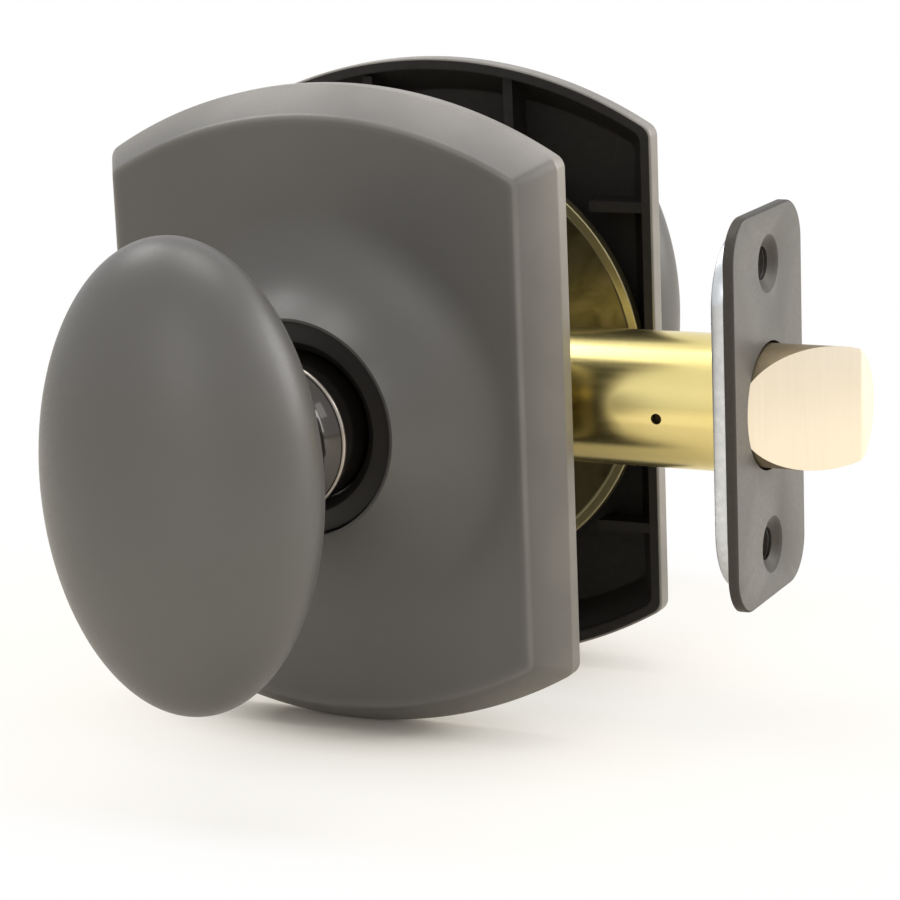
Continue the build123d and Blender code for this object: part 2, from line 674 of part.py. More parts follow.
# Case: folded steel channel, open above and below, with the hub's bearing holes and tabs in the tube
with BuildPart() as latch_case:
    case_front = TUBE_START - SLIDE_GAP
    tab_front = TUBE_START + CASE_TAB_LENGTH
    with BuildSketch(front_plane(CASE_INSIDE)):
        with Locations(((case_front - CASE_REAR - CASE_WALL) / 2, 0)):
            Rectangle(case_front + CASE_REAR + CASE_WALL, CASE_HEIGHT)
        with Locations((tab_front / 2, 0)):
            Rectangle(tab_front, CASE_TAB_HEIGHT)
        Circle(HUB_RADIUS + SLIDE_GAP, mode=Mode.SUBTRACT)
    extrude(amount=CASE_WALL)
    mirror(about=Plane.XZ)
    with BuildSketch(Plane.YZ.offset(-CASE_REAR)):
        Rectangle(2 * CASE_OUTSIDE, CASE_HEIGHT)
    extrude(amount=-CASE_WALL)
save(latch_case, "latch_case")

# Spring seat: slotted disc in the tube that the strap passes through
with BuildPart() as spring_seat:
    with BuildSketch(Plane.YZ.offset(SEAT_BACK)):
        Circle(TUBE_BORE - PRESS_GAP)
        Rectangle(FORK_THICKNESS + 2 * PASS_GAP, STRAP_WIDTH + 2 * PASS_GAP, mode=Mode.SUBTRACT)
    extrude(amount=SEAT_THICKNESS)
save(spring_seat, "spring_seat")

# Bolt spring: compression coil round the strap, between the seat and the bolt
spring_room = BOLT_BACK - SEAT_FRONT - 2 * COIL_END_GAP - BOLT_SPRING_WIRE
bolt_pitch = spring_room / BOLT_SPRING_TURNS
report_coil_gap("bolt spring", bolt_pitch, BOLT_SPRING_WIRE)
bolt_coil = coil_spring(BOLT_SPRING_RADIUS, bolt_pitch, BOLT_SPRING_TURNS, BOLT_SPRING_WIRE, 0, 0)
with BuildPart() as bolt_spring:
    add(Plane.YZ.offset(SEAT_FRONT + COIL_END_GAP + BOLT_SPRING_WIRE / 2).location * bolt_coil)
save(bolt_spring, "bolt_spring")
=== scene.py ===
# %% [markdown]
# # Passage knob set with a spring latch
# Two egg-shaped knobs sit on arched roses, one on each side of a door, and turn a square spindle.
# The spindle's hub draws back the bevelled bolt of a tubular latch in the door's edge.
# The CAD model is the fixed frame: the pieces made here take the place of its nodes, and the nodes that stay
# get a better finish. The part's sizes are in millimetres until a mesh is made.

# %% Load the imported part
import math

import bmesh
import bpy
from mathutils import Matrix, Vector


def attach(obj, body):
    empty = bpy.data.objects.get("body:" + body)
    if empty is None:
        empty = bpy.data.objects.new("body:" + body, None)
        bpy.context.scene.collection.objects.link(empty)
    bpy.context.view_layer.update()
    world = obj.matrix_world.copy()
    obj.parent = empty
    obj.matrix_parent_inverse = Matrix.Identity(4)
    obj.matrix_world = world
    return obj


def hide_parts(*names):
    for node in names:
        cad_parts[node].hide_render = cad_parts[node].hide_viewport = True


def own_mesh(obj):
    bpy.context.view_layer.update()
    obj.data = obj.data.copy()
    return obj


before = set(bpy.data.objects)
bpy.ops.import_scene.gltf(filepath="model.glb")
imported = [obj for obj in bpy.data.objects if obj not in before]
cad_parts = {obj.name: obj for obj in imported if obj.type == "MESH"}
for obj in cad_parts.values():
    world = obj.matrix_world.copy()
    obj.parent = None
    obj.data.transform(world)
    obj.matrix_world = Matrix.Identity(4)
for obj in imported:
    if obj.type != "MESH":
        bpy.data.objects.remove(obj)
scene = bpy.context.scene
scene.view_settings.view_transform = "Standard"
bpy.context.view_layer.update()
MM = 0.001
SIDES = {"front": -1, "rear": 1}

# %% [markdown]
# Node trees make both the finishes and the repeated shapes, so one small function adds any node.
# Settings belong to the node itself. A socket is filled with a value, or linked to an output of another node.
# Where only the node is given, its first output is linked.
# A Mix node has sockets of one name for numbers and for colours, so its colour sockets go by number.
# Colours are written as they look on a screen, in hex, and turned to the renderer's linear values.

# %% Nodes and colours
FIRST, SECOND, MIXED = 6, 7, 2


def add_node(tree, kind, sockets=None, **settings):
    """Add one node, with its settings, its input values and its links."""
    node = tree.nodes.new(kind)
    for setting, value in settings.items():
        setattr(node, setting, value)
    for socket, value in (sockets or {}).items():
        source = value.outputs[0] if isinstance(value, bpy.types.Node) else value
        if isinstance(source, bpy.types.NodeSocket):
            tree.links.new(source, node.inputs[socket])
        else:
            node.inputs[socket].default_value = source
    return node


def colour(code):
    """Linear colour with full alpha from an sRGB hex code."""
    parts = [int(code[place : place + 2], 16) / 255 for place in (1, 3, 5)]
    linear = [part / 12.92 if part <= 0.04045 else ((part + 0.055) / 1.055) ** 2.4 for part in parts]
    return (*linear, 1.0)


print("mid grey in linear light:", round(colour("#808080")[0], 3))

# %% [markdown]
# Every finish of the part starts from the Object coordinates, so its patterns have a real size, and ends in
# a Principled shader, with a relief where the surface has one. Most have two close tones that a noise blends.


# %% How a finish starts and ends
def start_finish(name):
    """Empty material, its node tree and the Object coordinates that its patterns lie on."""
    material = bpy.data.materials.new(name)
    material.use_nodes = True
    material.node_tree.nodes.clear()
    place = add_node(material.node_tree, "ShaderNodeTexCoord").outputs["Object"]
    return material, material.node_tree, place


def mottle(tree, place, first, second, size, detail):
    """Noise with spots of a size in millimetres, and the two colours blended by it."""
    spots = {"Vector": place, "Scale": 1 / (size * MM), "Detail": detail}
    noise = add_node(tree, "ShaderNodeTexNoise", spots).outputs["Fac"]
    tones = {"Factor": noise, FIRST: colour(first), SECOND: colour(second)}
    return noise, add_node(tree, "ShaderNodeMix", tones, data_type="RGBA").outputs[MIXED]


def end_finish(material, look, height=None, strength=0.0, depth=0.0):
    """Cover the material with a Principled shader, with a relief so many millimetres deep."""
    tree = material.node_tree
    if height:
        dents = {"Height": height, "Strength": strength, "Distance": depth * MM}
        look["Normal"] = add_node(tree, "ShaderNodeBump", dents)
    shader = add_node(tree, "ShaderNodeBsdfPrincipled", look)
    add_node(tree, "ShaderNodeOutputMaterial", {"Surface": shader})
    print("made", material.name)


print("patterns are sized in steps of", MM, "m")

# %% [markdown]
# The roses, knobs and face plate are plated dark bronze: zinc castings and pressed steel, brushed, plated
# brown and lacquered. To the eye that is a grey-brown satin metal with broad soft reflections, slightly
# cloudy, and paler along the edges: partly where hands and polishing rub it, partly a painted highlight
# along the edges. The brown oxide under the lacquer hides most of the metal, so Metallic stays low.
# Cloudiness comes from a noise of about 20 mm. The brushed grain is one of half a millimetre, drawn coarser
# than the real scratches so that it shows. The paler edges, rubbing and painted highlight, come from an
# attribute that the rose's mesh carries.

# %% Satin bronze plating
GRAIN = 0.5
satin_bronze, tree, place = start_finish("satin_bronze_plating")
cloud, brown = mottle(tree, place, "#555351", "#5E5C59", size=20.0, detail=3.0)
scratches = {"Vector": place, "Scale": 1 / (GRAIN * MM), "Detail": 2.0}
grain = add_node(tree, "ShaderNodeTexNoise", scratches).outputs["Fac"]
# Paler edges from the mesh's attribute: rubbed plating and a painted highlight.
sheen_and_wear = add_node(tree, "ShaderNodeAttribute", attribute_name="sheen_and_wear")
paler_edge_share = add_node(tree, "ShaderNodeMath", {0: sheen_and_wear.outputs["Fac"], 1: cloud}, operation="MULTIPLY")
tones = {"Factor": paler_edge_share, FIRST: brown, SECOND: colour("#A39D95")}
plating = add_node(tree, "ShaderNodeMix", tones, data_type="RGBA")
shine = {"Value": grain, "From Min": 0.3, "From Max": 0.7, "To Min": 0.37, "To Max": 0.45}
gloss = add_node(tree, "ShaderNodeMapRange", shine)
look = {"Base Color": plating.outputs[MIXED], "Metallic": 0.3, "Roughness": gloss}
end_finish(satin_bronze, look, grain, strength=0.12, depth=0.02)

# %% [markdown]
# The inside of a rose, and the flat rim that stands on the door, are the same casting without the polish:
# plating soaks in unevenly, and the colour is painted almost black, which is also painted shade in the
# hollow. It is rough and catches little light, so the open back of a rose is a dark cave. A noise of about
# a millimetre pits it.

# %% Unpolished inside of the roses, with painted shade
cave_shade_casting, tree, place = start_finish("unpolished_with_cave_shade")
pits, soot = mottle(tree, place, "#171412", "#2A2623", size=1.2, detail=4.0)
look = {"Base Color": soot, "Metallic": 0.3, "Roughness": 0.6}
end_finish(cave_shade_casting, look, pits, strength=0.3, depth=0.1)

# %% [markdown]
# The face plate is stamped from strip and plated like the rose, but only its front is brushed. Its sheared
# sides and its two dished holes keep the darker plating, a little rougher, with a noise of half a millimetre
# for the torn metal; in the dished holes the darkness is also painted shade. The punched walls of the back
# plate's screw holes share it, as painted shade inside the holes.

# %% Unbrushed plating of the face plate's sides, and painted shade in the holes
dark_sides_and_hole_shade, tree, place = start_finish("sheared_sides_with_hole_shade")
_, shade = mottle(tree, place, "#38342F", "#45413C", size=0.5, detail=3.0)
end_finish(dark_sides_and_hole_shade, {"Base Color": shade, "Metallic": 0.6, "Roughness": 0.5})

# %% [markdown]
# The neck under the knob is turned brass, plated nearly black and lacquered. The lacquer is a clear coat,
# glossier than the knob, so the room shows in it as thin bright lines. Turning leaves fine rings round the
# axis. They depend only on the distance along Y, so a one-dimensional noise of Y draws them, about 0.3 mm
# apart. The neck's small bead is painted bright: rubbed brass, and a painted highlight for the glint on it.
# An attribute of its mesh says where.

# %% Turned dark bronze of the necks
TURNING = 0.3
dark_bronze, tree, place = start_finish("turned_dark_bronze")
along = add_node(tree, "ShaderNodeSeparateXYZ", {"Vector": place})
rings = {"W": along.outputs["Y"], "Scale": 1 / (TURNING * MM), "Detail": 1.0}
marks = add_node(tree, "ShaderNodeTexNoise", rings, noise_dimensions="1D").outputs["Fac"]
tones = {"Factor": marks, FIRST: colour("#26211D"), SECOND: colour("#352E28")}
stain = add_node(tree, "ShaderNodeMix", tones, data_type="RGBA")
# The bead's bright colour is rubbed brass and a painted highlight.
sheen_and_wear = add_node(tree, "ShaderNodeAttribute", attribute_name="sheen_and_wear")
tones = {"Factor": sheen_and_wear.outputs["Fac"], FIRST: stain.outputs[MIXED], SECOND: colour("#A89F94")}
stain_and_glint = add_node(tree, "ShaderNodeMix", tones, data_type="RGBA")
lacquer = {"Coat Weight": 1.0, "Coat Roughness": 0.06}
look = {"Base Color": stain_and_glint.outputs[MIXED], "Metallic": 0.85, "Roughness": 0.22} | lacquer
end_finish(dark_bronze, look, marks, strength=0.15, depth=0.02)

# %% [markdown]
# The bushing between neck and rose is moulded black nylon: a dull plastic with an IOR near 1.53.
# The mould leaves a faint texture, a noise of 0.4 mm that goes to the colour and to a bump.

# %% Moulded nylon
black_nylon, tree, place = start_finish("moulded_black_nylon")
texture, dye = mottle(tree, place, "#1A1715", "#25211E", size=0.4, detail=2.0)
look = {"Base Color": dye, "Roughness": 0.48, "IOR": 1.53}
end_finish(black_nylon, look, texture, strength=0.2, depth=0.03)

# %% [markdown]
# The round mounting plates are pressed steel, zinc plated and dipped in yellow chromate. The thin film shifts
# between olive, gold and a trace of pink in patches of a few millimetres, over faint rings left by the press
# tool. Distance from the spindle's axis gives the rings: the length of the Object coordinates with Y taken
# out. The same distance finds the raised rim, which is coloured paler.

# %% Yellow chromate plating
PRESSING, FILM_PATCH = 0.8, 6.0
RIM_START, PALE_RIM_BLEND = 32.5, 0.4
yellow_chromate, tree, place = start_finish("yellow_chromate_plating")
flat = add_node(tree, "ShaderNodeVectorMath", {0: place, 1: (1.0, 0.0, 1.0)}, operation="MULTIPLY")
length = add_node(tree, "ShaderNodeVectorMath", {0: flat}, operation="LENGTH")
radius = length.outputs["Value"]
rings = {"W": radius, "Scale": 1 / (PRESSING * MM), "Detail": 1.0}
marks = add_node(tree, "ShaderNodeTexNoise", rings, noise_dimensions="1D").outputs["Fac"]
patches = {"Vector": place, "Scale": 1 / (FILM_PATCH * MM), "Detail": 4.0, "Distortion": 0.6}
film = add_node(tree, "ShaderNodeTexNoise", patches)
tints = add_node(tree, "ShaderNodeValToRGB", {"Fac": film.outputs["Fac"]})
olive, pink = tints.color_ramp.elements
olive.position, olive.color = 0.35, colour("#5D573D")
pink.position, pink.color = 0.68, colour("#867A5E")
tints.color_ramp.elements.new(0.52).color = colour("#7A7253")
edge = {"Value": radius, "From Min": (RIM_START - PALE_RIM_BLEND) * MM, "From Max": RIM_START * MM}
at_rim = add_node(tree, "ShaderNodeMapRange", edge)
tones = {"Factor": at_rim, FIRST: tints.outputs["Color"], SECOND: colour("#B5AB84")}
plating = add_node(tree, "ShaderNodeMix", tones, data_type="RGBA")
look = {"Base Color": plating.outputs[MIXED], "Metallic": 1.0, "Roughness": 0.42}
end_finish(yellow_chromate, look, marks, strength=0.2, depth=0.03)

# %% [markdown]
# The latch tube is drawn brass, polished, and softly mirrors what stands round it. Drawing leaves faint
# lines along the tube: a noise squeezed across X and stretched along it, with lines about 0.4 mm apart,
# which change the gloss a little.

# %% Polished brass
LINE_LENGTH, LINE_WIDTH = 15.0, 0.4
polished_brass, tree, place = start_finish("polished_drawn_brass")
across = 1 / (LINE_WIDTH * MM)
drawing = {"Vector": place, "Scale": (1 / (LINE_LENGTH * MM), across, across)}
drawn = add_node(tree, "ShaderNodeMapping", drawing)
scratches = {"Vector": drawn, "Scale": 1.0, "Detail": 2.0}
lines = add_node(tree, "ShaderNodeTexNoise", scratches).outputs["Fac"]
_, metal = mottle(tree, place, "#E0CE87", "#ECDB98", size=9.0, detail=3.0)
shine = {"Value": lines, "From Min": 0.3, "From Max": 0.7, "To Min": 0.21, "To Max": 0.25}
gloss = add_node(tree, "ShaderNodeMapRange", shine)
look = {"Base Color": metal, "Metallic": 1.0, "Roughness": gloss}
end_finish(polished_brass, look, lines, strength=0.03, depth=0.01)

# %% [markdown]
# The bolt is zinc, nickel plated, and its slanted front is brushed across its travel: a warm pale metal with
# a soft spread highlight. The brushing is fine along X and long across it. The mapping sets both sizes, so
# the noise itself keeps a size of one metre.

# %% Satin nickel
BRUSH_WIDTH, BRUSH_LENGTH = 0.3, 12.0
METRE = 1 / MM
satin_nickel, tree, place = start_finish("satin_nickel_plating")
across = 1 / (BRUSH_LENGTH * MM)
brushing = {"Vector": place, "Scale": (1 / (BRUSH_WIDTH * MM), across, across)}
brushed = add_node(tree, "ShaderNodeMapping", brushing)
brush, warm = mottle(tree, brushed, "#E4D8C3", "#ECE1CE", size=METRE, detail=2.0)
look = {"Base Color": warm, "Metallic": 1.0, "Roughness": 0.36}
end_finish(satin_nickel, look, brush, strength=0.1, depth=0.02)

# %% [markdown]
# The bolt's round sides stay as they were cast, duller and browner, with a skin of 0.8 mm grains; the brown
# tone is partly painted shade. The tail never leaves the tube, and there it is painted darker as shade inside
# the tube, so there the colour follows X.

# %% Cast sides of the bolt, with painted shade
TUBE_SHADE_FROM, TUBE_SHADE_FULL = 57.0, 55.0
nickel_sides_and_shade, tree, place = start_finish("cast_nickel_plating")
_, dull = mottle(tree, place, "#84775F", "#96886F", size=0.8, detail=3.0)
along = add_node(tree, "ShaderNodeSeparateXYZ", {"Vector": place})
# Painted shade on the tail: darker where X falls below 55 mm, inside the tube.
edge = {"Value": along.outputs["X"], "From Min": TUBE_SHADE_FROM * MM, "From Max": TUBE_SHADE_FULL * MM}
tail = add_node(tree, "ShaderNodeMapRange", edge)
tones = {"Factor": tail, FIRST: dull, SECOND: colour("#2E2720")}
tail_shade = add_node(tree, "ShaderNodeMix", tones, data_type="RGBA")
end_finish(nickel_sides_and_shade, {"Base Color": tail_shade.outputs[MIXED], "Metallic": 1.0, "Roughness": 0.5})

# %% [markdown]
# The back plate, spindle, posts and the latch's working parts are steel with bright zinc plating: a cool
# silver, slightly crystalline. A Voronoi texture draws the grains, about a millimetre wide, in colour and
# gloss.

# %% Bright zinc plating
CRYSTAL = 1.2
bright_zinc, tree, place = start_finish("bright_zinc_plating")
grains = add_node(tree, "ShaderNodeTexVoronoi", {"Vector": place, "Scale": 1 / (CRYSTAL * MM)})
away = grains.outputs["Distance"]
tones = {"Factor": away, FIRST: colour("#CDD0D3"), SECOND: colour("#BFC2C6")}
silver = add_node(tree, "ShaderNodeMix", tones, data_type="RGBA")
shine = {"Value": away, "From Min": 0.0, "From Max": 0.8, "To Min": 0.24, "To Max": 0.34}
gloss = add_node(tree, "ShaderNodeMapRange", shine)
look = {"Base Color": silver.outputs[MIXED], "Metallic": 1.0, "Roughness": gloss}
end_finish(bright_zinc, look)

# %% [markdown]
# Spring wire and snap rings are hardened steel with an oiled blue-grey skin, unevenly dark.
# A noise of 2 mm mixes the two greys.

# %% Oiled spring steel
spring_steel, tree, place = start_finish("oiled_spring_steel")
_, oil = mottle(tree, place, "#55575B", "#7B7D80", size=2.0, detail=3.0)
end_finish(spring_steel, {"Base Color": oil, "Metallic": 1.0, "Roughness": 0.3})

# %% [markdown]
# A real pressed or cast edge is never knife sharp: the small radius is what catches the light. So profiles
# are written as corners with a radius each, and this helper turns them into a path with rounded corners.
# A point held just outside each rounding keeps smooth shading from bleeding over the flats.


# %% Rounded profiles
def rounded(corners, steps=5, hold=0.12, side_share=0.4):
    """Path through (across, along, radius) corners, each rounded by its radius, in millimetres."""
    path = [corners[0][:2]]
    for before, corner, after in zip(corners, corners[1:], corners[2:]):
        point = Vector(corner[:2])
        if corner[2] == 0:
            path.append(tuple(point))
            continue
        back = Vector(before[:2]) - point
        ahead = Vector(after[:2]) - point
        reach = corner[2] / math.tan(back.angle(ahead) / 2)
        reach = min(reach, back.length * side_share, ahead.length * side_share)
        start = point + back.normalized() * reach
        end = point + ahead.normalized() * reach
        path.append(tuple(start + back.normalized() * hold))
        for step in range(steps + 1):
            share = step / steps
            path.append(tuple(start.lerp(point, share).lerp(point.lerp(end, share), share)))
        path.append(tuple(end + ahead.normalized() * hold))
    path.append(corners[-1][:2])
    return path


print("a rounded square corner has", len(rounded([(0, 0, 0), (5, 0, 1), (5, 5, 0)])), "points")

# %% [markdown]
# Roses and turned pieces are both loops of points joined by quads, so one function makes such a mesh. It can
# give each band of quads its own finish, and each loop a number for how much its plating is rubbed and
# painted with highlight.

# %% Meshes from loops
MERGE = 0.001 * MM
SHARP_ANGLE = math.radians(40)


def add_object(name, data):
    """Object for a mesh, lamp or camera, linked to the scene."""
    added = bpy.data.objects.new(name, data)
    scene.collection.objects.link(added)
    return added


def tidy_faces(mesh):
    """Merge doubled points, point the faces outwards and shade smooth up to the sharp edges."""
    work = bmesh.new()
    work.from_mesh(mesh)
    bmesh.ops.remove_doubles(work, verts=work.verts, dist=MERGE)
    bmesh.ops.recalc_face_normals(work, faces=work.faces)
    work.to_mesh(mesh)
    work.free()
    mesh.shade_smooth()
    mesh.set_sharp_from_angle(angle=SHARP_ANGLE)


def joined_loops(name, loops, closed, finishes, finish_of=None, sheen_and_wear_amounts=None):
    """Mesh of quads between loops of points, in metres, with the faces pointing outwards."""
    mesh = bpy.data.meshes.new(name)
    count = len(loops[0])
    faces = []
    numbers = []
    for ring in range(len(loops) if closed else len(loops) - 1):
        here = ring * count
        after = (ring + 1) % len(loops) * count
        for spot in range(count):
            beside = (spot + 1) % count
            faces.append((here + spot, here + beside, after + beside, after + spot))
            numbers.append(finish_of[ring] if finish_of else 0)
    mesh.from_pydata([point for loop in loops for point in loop], [], faces)
    mesh.polygons.foreach_set("material_index", numbers)
    if sheen_and_wear_amounts:
        layer = mesh.attributes.new("sheen_and_wear", "FLOAT", "POINT")
        layer.data.foreach_set("value", [amount for amount in sheen_and_wear_amounts for _ in range(count)])
    tidy_faces(mesh)
    for finish in finishes:
        mesh.materials.append(finish)
    return add_object(name, mesh)


def dress(piece, body, slot, *nodes):
    """Ride a finished piece on its body, in place of the nodes it stands for."""
    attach(piece, body)
    if nodes:
        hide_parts(*nodes)
    print(piece.name, len(piece.data.polygons), "faces, rides on", body)


print("edges sharper than", round(math.degrees(SHARP_ANGLE)), "degrees stay crisp")

# %% [markdown]
# The rose is an arched plate: straight sides, bowed top and bottom, a short straight edge, a wide bevel, a
# flat face, and a collar that flares up to the knob. A loft of outlines suits it: one outline function,
# called with more and more inset, and every outline has as many points as the next, so quads join them.
# A quarter of the outline is drawn and turned over for the rest.

# %% Arched outline of the rose
QUARTER_TURN = math.pi / 2
ROSE_WIDTH, ROSE_HEIGHT, ROSE_SAG = 72.6, 95.2, 10.4
CORNER_RADIUS, CORNER_SHRINK, CORNER_LEAST = 2.2, 0.16, 0.4
SIDE_STEPS, CORNER_STEPS, ARCH_STEPS = 24, 8, 28
ARCH_RADIUS = ((ROSE_WIDTH / 2) ** 2 + ROSE_SAG**2) / (2 * ROSE_SAG)
ARCH_CENTRE = ROSE_HEIGHT / 2 - ARCH_RADIUS


def arc(centre, radius, start, end, count):
    """Points along an arc, without its last one."""
    angles = [start + (end - start) * step / count for step in range(count)]
    return [(centre[0] + radius * math.cos(a), centre[1] + radius * math.sin(a)) for a in angles]


def rose_outline(inset):
    """Arched outline drawn in by inset, as (x, z) points that start in the middle of the right side."""
    corner = max(CORNER_LEAST, CORNER_RADIUS - CORNER_SHRINK * inset)
    half = ROSE_WIDTH / 2 - inset
    arch = ARCH_RADIUS - inset
    across = half - corner
    height = ARCH_CENTRE + math.sqrt((arch - corner) ** 2 - across**2)
    turn = math.atan2(height - ARCH_CENTRE, across)
    side = [(half, height * step / SIDE_STEPS) for step in range(SIDE_STEPS)]
    quarter = side + arc((across, height), corner, 0, turn, CORNER_STEPS)
    quarter += arc((0, ARCH_CENTRE), arch, turn, QUARTER_TURN, ARCH_STEPS)
    left = [(-x, z) for x, z in reversed(quarter[1:])]
    upper = quarter + [(0, ARCH_CENTRE + arch)] + left
    lower = [(-x, -z) for x, z in upper]
    return upper + lower


print("the rose's outline has", len(rose_outline(0)), "points")

# %% [markdown]
# Towards the knob's hole the outlines become circles, which follow the collar's flare: an arc, seen from the
# side. The loft starts inside, goes out over the flat rim, the bevel and the face, and ends at the collar's
# lip. So the rose is hollow.

# %% Loops of the rose
HALF_DOOR = 15.875
ROSE_EDGE, ROSE_BEVEL, ROSE_SHOULDER, ROSE_WALL = 2.75, 3.8, 9.0, 1.8
INNER_FLAT, OUTER_FLAT = 1.0, 1.4
COLLAR_FOOT, COLLAR_HOLE, COLLAR_LIP, COLLAR_RISE = 30.5, 15.7, 0.5, 8.6


def collar_loops(face, wall, steps=18):
    """Radius and distance along the collar's flare, from foot to lip, outside or inside the wall."""
    run = COLLAR_FOOT - COLLAR_HOLE - COLLAR_LIP
    flare = run / math.sin(2 * math.atan2(COLLAR_RISE, run)) + wall
    reach = math.asin((COLLAR_FOOT - COLLAR_HOLE - (0 if wall else COLLAR_LIP)) / flare)
    sweep = [reach * step / steps for step in range(steps + 1)]
    return [(COLLAR_FOOT - flare * math.sin(a), face - wall + flare * (1 - math.cos(a))) for a in sweep]


def rose_loops():
    """Loops of (x, z) points with their distance from the door's middle, and where the shell ends."""
    angles = [math.atan2(z, x) for x, z in rose_outline(ROSE_BEVEL)]
    face = HALF_DOOR + ROSE_SHOULDER
    inside = collar_loops(face, ROSE_WALL)[::-1]
    outside = collar_loops(face, 0)
    lip = rounded([(*outside[-1], 0), (COLLAR_HOLE, outside[-1][1], 0.25), (*inside[0], 0)])[1:-1]
    shell = rounded(
        [
            (ROSE_BEVEL + ROSE_WALL + INNER_FLAT, ROSE_SHOULDER - ROSE_WALL, 0),
            (ROSE_BEVEL + ROSE_WALL, ROSE_SHOULDER - ROSE_WALL, 0.6),
            (ROSE_WALL, ROSE_EDGE, 0.6),
            (ROSE_WALL, 0, 0.25),
            (0, 0, 0.35),
            (0, ROSE_EDGE, 0.7),
            (ROSE_BEVEL, ROSE_SHOULDER, 1.2),
            (ROSE_BEVEL + OUTER_FLAT, ROSE_SHOULDER, 0),
        ]
    )
    loops = [([(r * math.cos(a), r * math.sin(a)) for a in angles], d) for r, d in inside]
    loops += [(rose_outline(inset), HALF_DOOR + depth) for inset, depth in shell]
    loops += [([(r * math.cos(a), r * math.sin(a)) for a in angles], d) for r, d in outside + lip]
    return loops, len(inside) + len(shell)


rose_shape, shell_end = rose_loops()
print("the rose has", len(rose_shape), "loops")

# %% [markdown]
# The inside and the flat rim get the unpolished finish, darkened with painted shade. From the rim outwards
# the plating is rubbed and painted with highlight: all of it on the straight edge, and some on top of the
# bevel.

# %% Both roses
EDGE_SHEEN_AND_WEAR, TOP_SHEEN_AND_WEAR, TOP_MOST = 0.9, 1.8, 0.5
ON_THE_DOOR = 0.01


def edge_sheen_and_wear(inset, depth):
    """How much the plating is rubbed and painted with highlight at this inset from the outline and depth from
    the door.
    """
    if depth <= ROSE_EDGE:
        return 1.0
    edge = 1 - math.hypot(inset, depth - ROSE_EDGE) / EDGE_SHEEN_AND_WEAR
    top = TOP_MOST - math.hypot(inset - ROSE_BEVEL, depth - ROSE_SHOULDER) / TOP_SHEEN_AND_WEAR
    return max(0.0, edge, top)


rim = max(ring for ring, (_, d) in enumerate(rose_shape) if abs(d - HALF_DOOR) < ON_THE_DOOR)
# The inside and the rim take the near-black finish, which carries painted shade.
dark = [1 if ring < rim else 0 for ring in range(len(rose_shape))]
sheen_and_wear_amounts = [0.0] * len(rose_shape)
# Rubbing and painted highlight: full on the straight edge, less on top of the bevel.
for ring in range(rim, shell_end):
    loop, distance = rose_shape[ring]
    inset = ROSE_HEIGHT / 2 - max(z for _, z in loop)
    sheen_and_wear_amounts[ring] = edge_sheen_and_wear(inset, distance - HALF_DOOR)
for name, side in SIDES.items():
    loops = [[(x * MM, side * d * MM, z * MM) for x, z in loop] for loop, d in rose_shape]
    rose = joined_loops(f"{name}_arched_rose", loops, True, [satin_bronze, cave_shade_casting], dark, sheen_and_wear_amounts)
    dress(rose, "housing", "satin_bronze", f"{name}_rose")

# %% [markdown]
# Pieces that repeat, wind or follow one rule are made by Geometry Nodes. These helpers start a tree with
# named inputs for its sizes, end it by making the copies real and giving them their finish, and run it once.
# The result is kept as a plain mesh.


# %% Growing pieces with Geometry Nodes
def start_tree(name, *sizes):
    """Empty geometry tree with a named input for each size and one for the finish, and those inputs."""
    tree = bpy.data.node_groups.new(name, "GeometryNodeTree")
    tree.interface.new_socket("Mesh", in_out="OUTPUT", socket_type="NodeSocketGeometry")
    for size in sizes:
        tree.interface.new_socket(size, in_out="INPUT", socket_type="NodeSocketFloat")
    tree.interface.new_socket("Finish", in_out="INPUT", socket_type="NodeSocketMaterial")
    return tree, add_node(tree, "NodeGroupInput").outputs


def end_tree(tree, geometry, finish):
    """Make the copies real, give them their finish and hand the mesh out."""
    real = add_node(tree, "GeometryNodeRealizeInstances", {"Geometry": geometry})
    finished = add_node(tree, "GeometryNodeSetMaterial", {"Geometry": real, "Material": finish})
    add_node(tree, "NodeGroupOutput", {"Mesh": finished})
    print(tree.name, "tree has", len(tree.nodes), "nodes")


def keep_result(piece, modifier):
    """Make a modifier's result the piece's own plain mesh, and remove the modifier."""
    evaluated = piece.evaluated_get(bpy.context.evaluated_depsgraph_get())
    mesh = bpy.data.meshes.new_from_object(evaluated)
    piece.modifiers.remove(modifier)
    piece.data = mesh
    return mesh


def grow(name, tree, finish, lengths, **others):
    """Run a geometry tree once, with lengths in millimetres and its other sizes, and keep the mesh."""
    sizes = {size: length * MM for size, length in lengths.items()} | others
    piece = add_object(name, bpy.data.meshes.new(name))
    nodes = piece.modifiers.new("Nodes", "NODES")
    nodes.node_group = tree
    for socket in tree.interface.items_tree:
        if socket.in_out == "INPUT":
            nodes[socket.identifier] = finish if socket.name == "Finish" else float(sizes[socket.name])
    tidy_faces(keep_result(piece, nodes))
    return piece


print("geometry trees are run once and kept as plain meshes")

# %% [markdown]
# Inside each rose, short ribs brace the shell against the round plate. They are alike: a box with one end
# slanted to follow the bevel. Copies stand on the corners of a grid and turn to point outwards, up and down
# or left and right.

